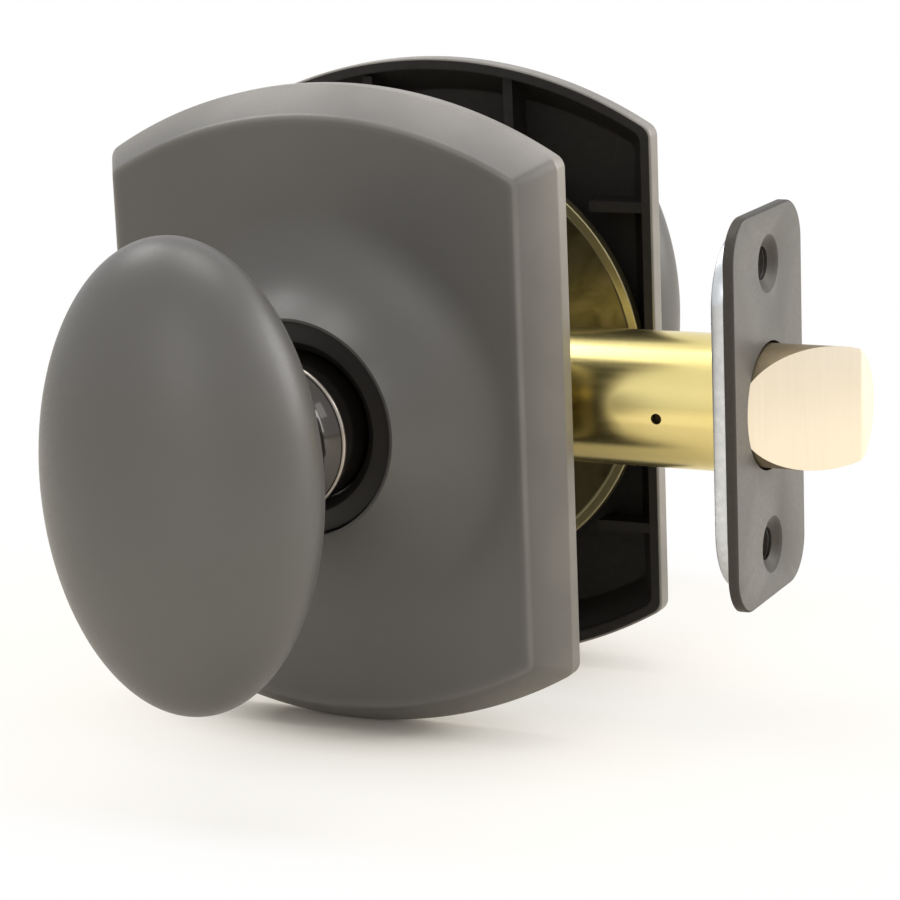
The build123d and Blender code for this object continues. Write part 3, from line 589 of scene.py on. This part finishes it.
# %% Rib tree
RIB_LENGTHS = ("Length", "Depth", "Thickness", "Slant", "Middle", "SpreadX", "SpreadZ")
ribs, size = start_tree("rose_ribs", *RIB_LENGTHS, "Outwards", "Upright")
lengths = {"X": size["Length"], "Y": size["Depth"], "Z": size["Thickness"]}
extent = add_node(ribs, "ShaderNodeCombineXYZ", lengths)
block = add_node(ribs, "GeometryNodeMeshCube", {"Size": extent})
position = add_node(ribs, "GeometryNodeInputPosition")
spot = add_node(ribs, "ShaderNodeSeparateXYZ", {"Vector": position})
outwards = {0: spot.outputs["Y"], 1: size["Outwards"]}
faceward = add_node(ribs, "ShaderNodeMath", outwards, operation="MULTIPLY")
at_face = add_node(ribs, "ShaderNodeMath", {0: faceward, 1: 0.0}, operation="GREATER_THAN")
at_end = add_node(ribs, "ShaderNodeMath", {0: spot.outputs["X"], 1: 0.0}, operation="GREATER_THAN")
slanted = add_node(ribs, "ShaderNodeMath", {0: at_face, 1: at_end}, operation="MULTIPLY")
pulled = add_node(ribs, "ShaderNodeCombineXYZ", {"X": size["Slant"]})
pull = {"Geometry": block, "Selection": slanted, "Offset": pulled}
cut = add_node(ribs, "GeometryNodeSetPosition", pull)
halved = add_node(ribs, "ShaderNodeMath", {0: size["Length"], 1: 0.5}, operation="MULTIPLY")
forward = add_node(ribs, "ShaderNodeCombineXYZ", {"X": halved, "Y": size["Middle"]})
rib = add_node(ribs, "GeometryNodeTransform", {"Geometry": cut, "Translation": forward})
corners = {"Size X": size["SpreadX"], "Size Y": size["SpreadZ"], "Vertices X": 2, "Vertices Y": 2}
grid = add_node(ribs, "GeometryNodeMeshGrid", corners)
upright = add_node(ribs, "GeometryNodeTransform", {"Geometry": grid, "Rotation": (QUARTER_TURN, 0, 0)})
side_x = add_node(ribs, "ShaderNodeMath", {0: spot.outputs["X"]}, operation="SIGN")
side_z = add_node(ribs, "ShaderNodeMath", {0: spot.outputs["Z"]}, operation="SIGN")
sideways = {0: side_x, 1: -QUARTER_TURN, 2: QUARTER_TURN}
level = add_node(ribs, "ShaderNodeMath", sideways, operation="MULTIPLY_ADD")
raised = add_node(ribs, "ShaderNodeMath", {0: side_z, 1: -QUARTER_TURN}, operation="MULTIPLY")
choice = {"Factor": size["Upright"], "A": level, "B": raised}
turn = add_node(ribs, "ShaderNodeMix", choice, data_type="FLOAT")
heading = add_node(ribs, "ShaderNodeCombineXYZ", {"Y": turn})
stand = {"Points": upright, "Instance": rib, "Rotation": heading}
end_tree(ribs, add_node(ribs, "GeometryNodeInstanceOnPoints", stand), size["Finish"])

# %% Ribs of both roses
PLATE_FRONT = 18.275
RIB_START, RIB_SPREAD, RIB_DEPTH = 25.0, 12.0, 5.1
RIB = {"Depth": RIB_DEPTH, "Thickness": 1.6, "Slant": -2.6, "SpreadZ": 2 * RIB_START}
TALL = {"Length": 19.4, "SpreadX": 2 * RIB_SPREAD}
SHORT = {"Length": 9.0, "SpreadX": 2 * RIB_START}
for name, side in SIDES.items():
    middle = {"Middle": side * (PLATE_FRONT + RIB_DEPTH / 2)}
    for kind, own, upright in (("upright", TALL, 1), ("level", SHORT, 0)):
        turns = {"Outwards": side, "Upright": upright}
        piece = grow(f"{name}_{kind}_ribs", ribs, cave_shade_casting, RIB | own | middle, **turns)
        dress(piece, "housing", "satin_bronze")

# %% [markdown]
# The knob is an egg with three different widths. Its shape follows one rule, a sphere stretched three ways,
# so a short geometry tree makes it: the three sizes and its distance from the door are the tree's inputs.

# %% Egg-shaped knobs
KNOB_DEPTH, KNOB_CENTRE = 28.06, 64.225
KNOB = {"Width": 41.0, "Depth": KNOB_DEPTH, "Height": 66.0}
egg, size = start_tree("egg_knob", *KNOB, "Distance")
ball = add_node(egg, "GeometryNodeMeshUVSphere", {"Segments": 160, "Rings": 96, "Radius": 0.5})
widths = {"X": size["Width"], "Y": size["Depth"], "Z": size["Height"]}
stretch = add_node(egg, "ShaderNodeCombineXYZ", widths)
centre = add_node(egg, "ShaderNodeCombineXYZ", {"Y": size["Distance"]})
shape = {"Geometry": ball, "Translation": centre, "Scale": stretch}
end_tree(egg, add_node(egg, "GeometryNodeTransform", shape), size["Finish"])
for name, side in SIDES.items():
    piece = grow(f"{name}_egg_knob", egg, satin_bronze, KNOB | {"Distance": side * KNOB_CENTRE})
    dress(piece, "knobs", "satin_bronze", f"{name}_knob")

# %% [markdown]
# Necks, bushings and mounting plates are turned or pressed round the spindle's axis, so each is a profile
# carried round Y, once on each side of the door. A profile gives the radius and the distance from the middle
# of the door, with each corner's rounding. The neck comes first: a shank with a groove for its snap ring, a
# small bead, a waist and a rim under the knob. The bead is painted bright, most at its top: rubbed brass and
# a painted highlight.


# %% Turned necks
def turned_pair(name, node, path, finish, body, slot, closed=True, sheen_and_wear_amounts=None, segments=144):
    """Carry a path of (radius, distance) points round the spindle's axis, for the front and the rear."""
    angles = [2 * math.pi * step / segments for step in range(segments)]
    circle = [(math.cos(a), math.sin(a)) for a in angles]
    for place, side in SIDES.items():
        loops = [[(r * x * MM, side * d * MM, r * z * MM) for x, z in circle] for r, d in path]
        piece = joined_loops(f"{place}_{name}", loops, closed, [finish], sheen_and_wear_amounts=sheen_and_wear_amounts)
        dress(piece, body, slot, f"{place}_{node}")


ROSE_LIP = 33.475
NECK_RADIUS, NECK_BEAD, NECK_WAIST, NECK_RIM = 11.0, 0.5, 9.6, 12.8
SHANK_RADIUS, SHANK_BACK, SHANK_FRONT = 9.9, 13.575, 27.675
RING_BACK, RING_FRONT, RING_FLOOR = 15.375, 16.575, 8.9
BEAD_GAP, BEAD_LEAD, RIM_HEIGHT, KNOB_SINK = 4.5, 0.2, 2.2, 6.0
BEAD_STEPS, WAIST_STEPS = 10, 16
bead_start = ROSE_LIP + BEAD_GAP
bead_end = bead_start + 2 * NECK_BEAD
rim_start = KNOB_CENTRE - KNOB_DEPTH / 2 - RIM_HEIGHT
inside_knob = KNOB_CENTRE - KNOB_SINK
shank = rounded(
    [
        (0, SHANK_BACK, 0),
        (SHANK_RADIUS, SHANK_BACK, 0.4),
        (SHANK_RADIUS, RING_BACK, 0.1),
        (RING_FLOOR, RING_BACK, 0),
        (RING_FLOOR, RING_FRONT, 0),
        (SHANK_RADIUS, RING_FRONT, 0.1),
        (SHANK_RADIUS, SHANK_FRONT, 0),
        (NECK_RADIUS, SHANK_FRONT, 0.2),
        (NECK_RADIUS, bead_start - BEAD_LEAD, 0),
    ]
)
swell = [math.pi * step / BEAD_STEPS for step in range(BEAD_STEPS + 1)]
bead = [(NECK_RADIUS + NECK_BEAD * math.sin(a), bead_start + NECK_BEAD * (1 - math.cos(a))) for a in swell]
start = Vector((NECK_RADIUS, bead_end))
middle = Vector((NECK_WAIST, (bead_end + rim_start) / 2))
end = Vector((NECK_RIM, rim_start))
pull = 2 * middle - (start + end) / 2
shares = [step / WAIST_STEPS for step in range(1, WAIST_STEPS)]
waist = [tuple(start.lerp(pull, share).lerp(pull.lerp(end, share), share)) for share in shares]
tip = [(NECK_RIM, inside_knob, 0), (0, inside_knob, 0)]
rim = rounded([(*waist[-1], 0), (NECK_RIM, rim_start, 0.5), *tip])
neck = shank + bead + waist[:-1] + rim
# Painted highlight and rubbing on the bead, most at its top.
sheen_and_wear_amounts = [0.0] * len(shank) + [math.sin(a) for a in swell]
sheen_and_wear_amounts += [0.0] * (len(neck) - len(sheen_and_wear_amounts))
turned_pair("turned_neck", "knob_neck", neck, dark_bronze, "knobs", "dark_bronze", False, sheen_and_wear_amounts)

# %% [markdown]
# The bushing is a nylon ring with a flange behind the rose's hole. Its bevelled mouth leads the neck in.
# A closed profile starts and ends at a seam in its bore.

# %% Nylon bushings
BUSHING_FRONT, BUSHING_BACK = 32.375, 27.775
BUSHING_BORE, BUSHING_RADIUS, BUSHING_FLANGE = 11.3, 15.6, 16.8
FLANGE_THICKNESS, BUSHING_MOUTH = 1.3, 1.3
SEAM_START, SEAM_END = 30.0, 30.2
bushing = rounded(
    [
        (BUSHING_BORE, SEAM_START, 0),
        (BUSHING_BORE, BUSHING_BACK, 0.2),
        (BUSHING_FLANGE, BUSHING_BACK, 0.2),
        (BUSHING_FLANGE, BUSHING_BACK + FLANGE_THICKNESS, 0.2),
        (BUSHING_RADIUS, BUSHING_BACK + FLANGE_THICKNESS, 0),
        (BUSHING_RADIUS, BUSHING_FRONT, 0.3),
        (BUSHING_BORE + BUSHING_MOUTH, BUSHING_FRONT, 0.3),
        (BUSHING_BORE, BUSHING_FRONT - BUSHING_MOUTH, 0.3),
        (BUSHING_BORE, SEAM_END, 0),
    ]
)
turned_pair("nylon_bushing", "knob_bushing", bushing, black_nylon, "housing", "black_nylon")

# %% [markdown]
# The round plate inside each rose carries the sleeve that the neck turns in. A low rim runs round its door
# side.

# %% Round mounting plates
PLATE_BACK, PLATE_RADIUS, PLATE_BORE = 16.775, 33.9, 11.85
RIM_BACK, RIM_SLOPE = 16.325, 0.45
SEAM_START, SEAM_END = PLATE_FRONT - 0.7, PLATE_FRONT - 0.8
plate = rounded(
    [
        (PLATE_BORE, SEAM_START, 0),
        (PLATE_BORE, PLATE_FRONT, 0.2),
        (PLATE_RADIUS, PLATE_FRONT, 0.3),
        (PLATE_RADIUS, RIM_BACK, 0.3),
        (RIM_START, RIM_BACK, 0.25),
        (RIM_START - RIM_SLOPE, PLATE_BACK, 0.25),
        (PLATE_BORE, PLATE_BACK, 0.2),
        (PLATE_BORE, SEAM_END, 0),
    ]
)
turned_pair("round_plate", "mounting_plate", plate, yellow_chromate, "housing", "yellow_plated_steel")

# %% [markdown]
# Two slotted screws clamp the roses together through the door. They are alike, so a geometry tree makes one
# and copies it: a head with its slot cut out, a plain core, and a thread, which is a small circle swept along
# a spiral. The coil springs are swept the same way, so a function does it. The whole screw points along Z
# while it is made, then turns to lie along Y.


# %% Slotted clamping screws
def swept_wire(tree, radius, turns, height, wire, steps, sides):
    """Small circle swept along a spiral: the thread of a screw or the wire of a coil."""
    winding = {"Resolution": steps, "Rotations": turns, "Start Radius": radius, "End Radius": radius}
    spiral = add_node(tree, "GeometryNodeCurveSpiral", winding | {"Height": height})
    circle = add_node(tree, "GeometryNodeCurvePrimitiveCircle", {"Resolution": sides, "Radius": wire})
    sweep = {"Curve": spiral, "Profile Curve": circle, "Fill Caps": True}
    return add_node(tree, "GeometryNodeCurveToMesh", sweep)


def lifted(tree, geometry, length, share):
    """Geometry moved along Z by a share of a length."""
    rise = add_node(tree, "ShaderNodeMath", {0: length, 1: share}, operation="MULTIPLY")
    shift = add_node(tree, "ShaderNodeCombineXYZ", {"Z": rise})
    return add_node(tree, "GeometryNodeTransform", {"Geometry": geometry, "Translation": shift})


BLADE_WIDTH = 3.0
SCREW_LENGTH, THREAD_PITCH = 22.0, 0.8
SCREW = {"HeadRadius": 3.6, "HeadHeight": 2.2, "Slot": 0.9, "CoreRadius": 1.7, "Length": SCREW_LENGTH}
SCREW |= {"Thread": 0.3, "Spacing": 41.3, "Seat": PLATE_FRONT}
screws, size = start_tree("slotted_screws", *SCREW, "Turns")
button = {"Vertices": 48, "Radius": size["HeadRadius"], "Depth": size["HeadHeight"]}
disc = add_node(screws, "GeometryNodeMeshCylinder", button)
head = lifted(screws, disc, size["HeadHeight"], 0.5)
width = add_node(screws, "ShaderNodeMath", {0: size["HeadRadius"], 1: BLADE_WIDTH}, operation="MULTIPLY")
lengths = {"X": width, "Y": size["Slot"], "Z": size["HeadHeight"]}
extent = add_node(screws, "ShaderNodeCombineXYZ", lengths)
blade = add_node(screws, "GeometryNodeMeshCube", {"Size": extent})
cutter = lifted(screws, blade, size["HeadHeight"], 1.0)
cutting = {"Mesh 1": head, "Mesh 2": cutter}
slotted = add_node(screws, "GeometryNodeMeshBoolean", cutting, operation="DIFFERENCE")
shaft = {"Vertices": 32, "Radius": size["CoreRadius"], "Depth": size["Length"]}
core = lifted(screws, add_node(screws, "GeometryNodeMeshCylinder", shaft), size["Length"], -0.5)
winding = (size["CoreRadius"], size["Turns"], size["Length"], size["Thread"])
thread = lifted(screws, swept_wire(screws, *winding, steps=24, sides=6), size["Length"], -1.0)
whole = add_node(screws, "GeometryNodeJoinGeometry")
for part in (slotted, core, thread):
    screws.links.new(part.outputs[0], whole.inputs[0])
laid = add_node(screws, "GeometryNodeTransform", {"Geometry": whole, "Rotation": (-QUARTER_TURN, 0, 0)})
low = add_node(screws, "ShaderNodeMath", {0: size["Spacing"], 1: -0.5}, operation="MULTIPLY")
first = add_node(screws, "ShaderNodeCombineXYZ", {"Y": size["Seat"], "Z": low})
apart = add_node(screws, "ShaderNodeCombineXYZ", {"Z": size["Spacing"]})
places = {"Count": 2, "Start Location": first, "Offset": apart}
pair = add_node(screws, "GeometryNodeMeshLine", places)
stand = {"Points": pair, "Instance": laid}
end_tree(screws, add_node(screws, "GeometryNodeInstanceOnPoints", stand), size["Finish"])
piece = grow("slotted_screws", screws, bright_zinc, SCREW, Turns=SCREW_LENGTH / THREAD_PITCH)
dress(piece, "housing", "zinc_steel", "mounting_screws")

# %% [markdown]
# Three coils of round wire do the returning: one twists round each neck, and one pushes the bolt out.
# One geometry tree serves all three, with two angles to point its axis. The bolt's spring gets a mesh of its
# own.

# %% Coil springs
COIL_LENGTHS = ("Radius", "Height", "Wire", "PlaceX", "PlaceY")
coil, size = start_tree("wire_coil", *COIL_LENGTHS, "Turns", "TurnX", "TurnY")
winding = (size["Radius"], size["Turns"], size["Height"], size["Wire"])
wire = swept_wire(coil, *winding, steps=48, sides=14)
angle = add_node(coil, "ShaderNodeCombineXYZ", {"X": size["TurnX"], "Y": size["TurnY"]})
spot = add_node(coil, "ShaderNodeCombineXYZ", {"X": size["PlaceX"], "Y": size["PlaceY"]})
stand = {"Geometry": wire, "Rotation": angle, "Translation": spot}
end_tree(coil, add_node(coil, "GeometryNodeTransform", stand), size["Finish"])
RETURN_START, RETURN_PITCH, RETURN_TURNS = 19.875, 1.7, 3
for name, side in SIDES.items():
    lengths = {"Radius": 13.2, "Height": RETURN_PITCH * RETURN_TURNS, "Wire": 0.55}
    lengths |= {"PlaceX": 0, "PlaceY": side * RETURN_START}
    turns = {"Turns": RETURN_TURNS, "TurnX": -side * QUARTER_TURN, "TurnY": 0}
    piece = grow(f"{name}_return_coil", coil, spring_steel, lengths, **turns)
    dress(piece, "housing", "spring_steel", f"{name}_return_spring")
SEAT_FRONT, BOLT_BACK, BOLT_THROW, END_GAP = 24.8, 46.0, 12.7, 0.55
lengths = {"Radius": 6.0, "Height": BOLT_BACK - SEAT_FRONT - 2 * END_GAP, "Wire": 0.5}
lengths |= {"PlaceX": SEAT_FRONT + END_GAP, "PlaceY": 0}
bolt_coil = grow("bolt_coil", coil, spring_steel, lengths, Turns=6, TurnX=0, TurnY=QUARTER_TURN)
dress(bolt_coil, "housing", "spring_steel", "bolt_spring")
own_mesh(bolt_coil)

# %% [markdown]
# Plates, bolt and spindle already have the right shape in the CAD, apart from knife-sharp edges. A copy of
# the node's mesh is merged into clean faces and its sharp edges get a narrow bevel, so they catch a thin line
# of light. The face plate's dishes have soft edges already, so its width is 0 and its faces stay as they are.

# %% Copies with softened edges
COPY_MERGE, FLAT_ANGLE = 0.0005 * MM, math.radians(0.5)
SOFT_SEGMENTS, SOFT_ANGLE, SMOOTH_ANGLE = 3, math.radians(40), math.radians(35)


def soft_copy(node, name, finish, width, second_finish=None, takes_second=None):
    """Copy a node's mesh, round its sharp edges by a width and give some faces a second finish."""
    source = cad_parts[node].data
    mesh = bpy.data.meshes.new(name)
    mesh.from_pydata([v.co for v in source.vertices], [], [p.vertices for p in source.polygons])
    work = bmesh.new()
    work.from_mesh(mesh)
    bmesh.ops.remove_doubles(work, verts=work.verts, dist=COPY_MERGE)
    if width:
        bmesh.ops.dissolve_limit(work, angle_limit=FLAT_ANGLE, verts=work.verts, edges=work.edges)
    work.to_mesh(mesh)
    work.free()
    mesh.materials.append(finish)
    mesh.shade_smooth()
    piece = add_object(name, mesh)
    bevel = piece.modifiers.new("Soft edges", "BEVEL")
    bevel.width = width * MM
    bevel.segments = SOFT_SEGMENTS
    bevel.angle_limit = SOFT_ANGLE
    softened = keep_result(piece, bevel)
    softened.set_sharp_from_angle(angle=SMOOTH_ANGLE)
    if second_finish:
        softened.materials.append(second_finish)
        numbers = [int(takes_second(face)) for face in softened.polygons]
        softened.polygons.foreach_set("material_index", numbers)
    return piece


print("soft edges have", SOFT_SEGMENTS, "segments")

# %% [markdown]
# Three of the copies have a second finish, on the faces that a small test picks by their direction or place.
# The latch lies along X, so a face whose normal has little X in it is a side or the wall of a hole.

# %% Plates, bolt, spindle and posts
HOLE_SPACING, HOLE_REACH = 41.3, 3.0
FRONT_FACING, WALL_FACING, ROUND_FACING = 0.95, 0.5, 0.1


def off_the_front(face):
    """Whether a face of the face plate is one of its sides or dishes."""
    return abs(face.normal.x) < FRONT_FACING


def in_screw_hole(face):
    """Whether a face of the back plate is the wall of a screw hole."""
    away = math.hypot(face.center.y, abs(face.center.z) - HOLE_SPACING / 2 * MM)
    return away < HOLE_REACH * MM and abs(face.normal.x) < WALL_FACING


def along_the_bolt(face):
    """Whether a face of the bolt is part of its round sides."""
    return abs(face.normal.x) < ROUND_FACING


HOUSING_ZINC = ("housing", "zinc_steel", bright_zinc)
KNOBS_ZINC = ("knobs", "zinc_steel", bright_zinc)
FRONT_BRONZE = ("housing", "satin_bronze", satin_bronze)
BOLT_NICKEL = ("bolt", "satin_nickel", satin_nickel)
SOFT_COPIES = (
    # Painted shade: the darker finish fills the face plate's dishes and the back plate's hole walls.
    ("latch_faceplate", "dished_face_plate", *FRONT_BRONZE, 0.0, dark_sides_and_hole_shade, off_the_front),
    ("latch_backplate", "edge_back_plate", *HOUSING_ZINC, 0.25, dark_sides_and_hole_shade, in_screw_hole),
    # The bolt's second finish carries painted shade on its round sides and its tail.
    ("latch_bolt", "bevelled_bolt", *BOLT_NICKEL, 0.3, nickel_sides_and_shade, along_the_bolt),
    ("spindle", "square_spindle", *KNOBS_ZINC, 0.2),
    ("latch_case", "folded_case", *HOUSING_ZINC, 0.15),
    ("latch_hub", "cam_hub", *KNOBS_ZINC, 0.15),
    ("mounting_posts", "tapped_posts", *HOUSING_ZINC, 0.2),
)
for node, name, body, slot, *finishing in SOFT_COPIES:
    dress(soft_copy(node, name, *finishing), body, slot, node)

# %% [markdown]
# The other nodes keep their CAD shape and only get their finish: the polished tube and the small working
# parts inside.

# %% Finishes on the nodes that stay
STAYING = (
    (polished_brass, ("latch_tube",)),
    (bright_zinc, ("front_bearing_sleeve", "rear_bearing_sleeve")),
    (bright_zinc, ("front_spring_driver", "rear_spring_driver")),
    (bright_zinc, ("retractor", "retractor_pins", "bolt_rivet", "spring_seat")),
    (spring_steel, ("front_retaining_ring", "rear_retaining_ring")),
)
for finish, nodes in STAYING:
    for node in nodes:
        for material_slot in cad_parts[node].material_slots:
            material_slot.material = finish
    print(finish.name, "on", *nodes)

# %% [markdown]
# The set is shown standing on a white table, with a seamless white surround. The floor is pale and warm and
# takes the soft shadow. Camera rays see its shadow under the two roses, which stand 20 mm to each side of the
# middle, and further off they see it fade into plain white, so no horizon shows. One fold at Y = 0 serves
# both roses.

# %% Floor
FLOOR_HEIGHT, FLOOR_HALF = -47.75, 2000.0
CONTACT, CONTACT_SQUEEZE = 20.0, 0.5
FADE_START, FADE_END = 6.0, 68.0
FADE_STOPS = ((11, 0.36), (16, 0.58), (30, 0.75), (46, 0.75), (56, 0.95))
signs = ((-1, -1), (1, -1), (1, 1), (-1, 1))
corners = [Vector((x * FLOOR_HALF, y * FLOOR_HALF, FLOOR_HEIGHT)) * MM for x, y in signs]
mesh = bpy.data.meshes.new("white_table")
mesh.from_pydata(corners, [], [(0, 1, 2, 3)])
table = add_object("white_table", mesh)
table_paint, tree, place = start_finish("white_table_paint")
paint = add_node(tree, "ShaderNodeBsdfDiffuse", {"Color": colour("#F8F2E7")})
folded = add_node(tree, "ShaderNodeVectorMath", {0: place}, operation="ABSOLUTE")
squeeze = {"Location": (0, -CONTACT * MM, 0), "Scale": (CONTACT_SQUEEZE, 1.0, 0.0)}
contact = add_node(tree, "ShaderNodeMapping", {"Vector": folded} | squeeze)
distance = add_node(tree, "ShaderNodeVectorMath", {0: contact}, operation="LENGTH")
shares = {0: distance.outputs["Value"], 1: 1 / (FADE_END * MM)}
reach = add_node(tree, "ShaderNodeMath", shares, operation="MULTIPLY")
fade = add_node(tree, "ShaderNodeValToRGB", {"Fac": reach})
fade.color_ramp.elements[0].position = FADE_START / FADE_END
for millimetres, white in FADE_STOPS:
    fade.color_ramp.elements.new(millimetres / FADE_END).color = (white, white, white, 1.0)
tones = {"Factor": fade, FIRST: colour("#FFF9EE"), SECOND: colour("#FFFFFF")}
cream = add_node(tree, "ShaderNodeMix", tones, data_type="RGBA")
glow = add_node(tree, "ShaderNodeEmission", {"Color": cream.outputs[MIXED], "Strength": 1.0})
seen = add_node(tree, "ShaderNodeLightPath")
rays = {0: fade, 1: seen.outputs["Is Camera Ray"]}
share = add_node(tree, "ShaderNodeMath", rays, operation="MULTIPLY")
blend = add_node(tree, "ShaderNodeMixShader", {"Fac": share, 1: paint, 2: glow})
add_node(tree, "ShaderNodeOutputMaterial", {"Surface": blend})
mesh.materials.append(table_paint)
print("table at", FLOOR_HEIGHT, "mm")

# %% [markdown]
# Satin metal shows its surroundings, blurred, so the light is a white room with a few soft boxes. Camera,
# mirror and see-through rays find the white room. Diffuse rays find it dimmer, so that colours come out as
# written.

# %% White room
world = bpy.data.worlds.new("white_room")
scene.world = world
world.use_nodes = True
tree = world.node_tree
tree.nodes.clear()
seen = add_node(tree, "ShaderNodeLightPath")
rays = {0: seen.outputs["Is Camera Ray"], 1: seen.outputs["Is Glossy Ray"]}
mirrored = add_node(tree, "ShaderNodeMath", rays, operation="MAXIMUM")
rays = {0: mirrored, 1: seen.outputs["Is Transmission Ray"]}
showing = add_node(tree, "ShaderNodeMath", rays, operation="MAXIMUM")
dim = add_node(tree, "ShaderNodeBackground", {"Color": colour("#FFFFFF"), "Strength": 0.8})
full = add_node(tree, "ShaderNodeBackground", {"Color": colour("#FFFFFF"), "Strength": 1.0})
room = add_node(tree, "ShaderNodeMixShader", {"Fac": showing, 1: dim, 2: full})
add_node(tree, "ShaderNodeOutputWorld", {"Surface": room})
print("made", world.name)

# %% [markdown]
# One soft box overhead and one high on the left draw the bright top bevels and the knob's top. Two on the
# right run down the knob's side, the rose's edge and the face plate. A weak one in front lifts the faces that
# look at the camera. Each row gives a box's place and width in metres, and its power in watts.

# %% Soft boxes
SOFT_BOXES = (
    ("overhead", (0.05, 0.02, 0.55), 0.32, 0.9),
    ("left", (-0.30, 0.02, 0.46), 0.25, 0.85),
    ("right", (0.41, 0.28, 0.17), 0.28, 1.2),
    ("right_high", (0.46, 0.02, 0.28), 0.18, 0.15),
    ("front", (0.05, -0.60, 0.25), 0.30, 0.3),
)
for name, spot, width, watts in SOFT_BOXES:
    lamp = bpy.data.lights.new(f"{name}_soft_box", "AREA")
    lamp.size = width
    lamp.energy = watts
    box = add_object(lamp.name, lamp)
    box.location = spot
    box.rotation_euler = (-Vector(spot)).to_track_quat("-Z", "Y").to_euler()
print("hung", len(SOFT_BOXES), "soft boxes")

# %% [markdown]
# The camera stands to the right of the front knob and a little above it, as in the photograph. Its place, in
# metres, and its turn, tilt and roll were worked out from the latch's face plate and the rose's outline, and
# its lens from their sizes.

# %% Camera
AZIMUTH, ELEVATION, ROLL = (math.radians(angle) for angle in (26.13, 13.11, -2.31))
CAMERA_PLACE = (0.20771, -0.40558, 0.09524)
lens = bpy.data.cameras.new("photo_camera")
lens.sensor_width = 36.0
lens.lens = 122.29
lens.clip_start = 0.01
camera = add_object("photo_camera", lens)
turn = Matrix.Rotation(AZIMUTH, 4, "Z")
tilt = Matrix.Rotation(QUARTER_TURN - ELEVATION, 4, "X")
roll = Matrix.Rotation(ROLL, 4, "Z")
camera.matrix_world = Matrix.Translation(CAMERA_PLACE) @ (turn @ tilt @ roll)
scene.camera = camera
print("camera", tuple(round(part, 3) for part in camera.location))
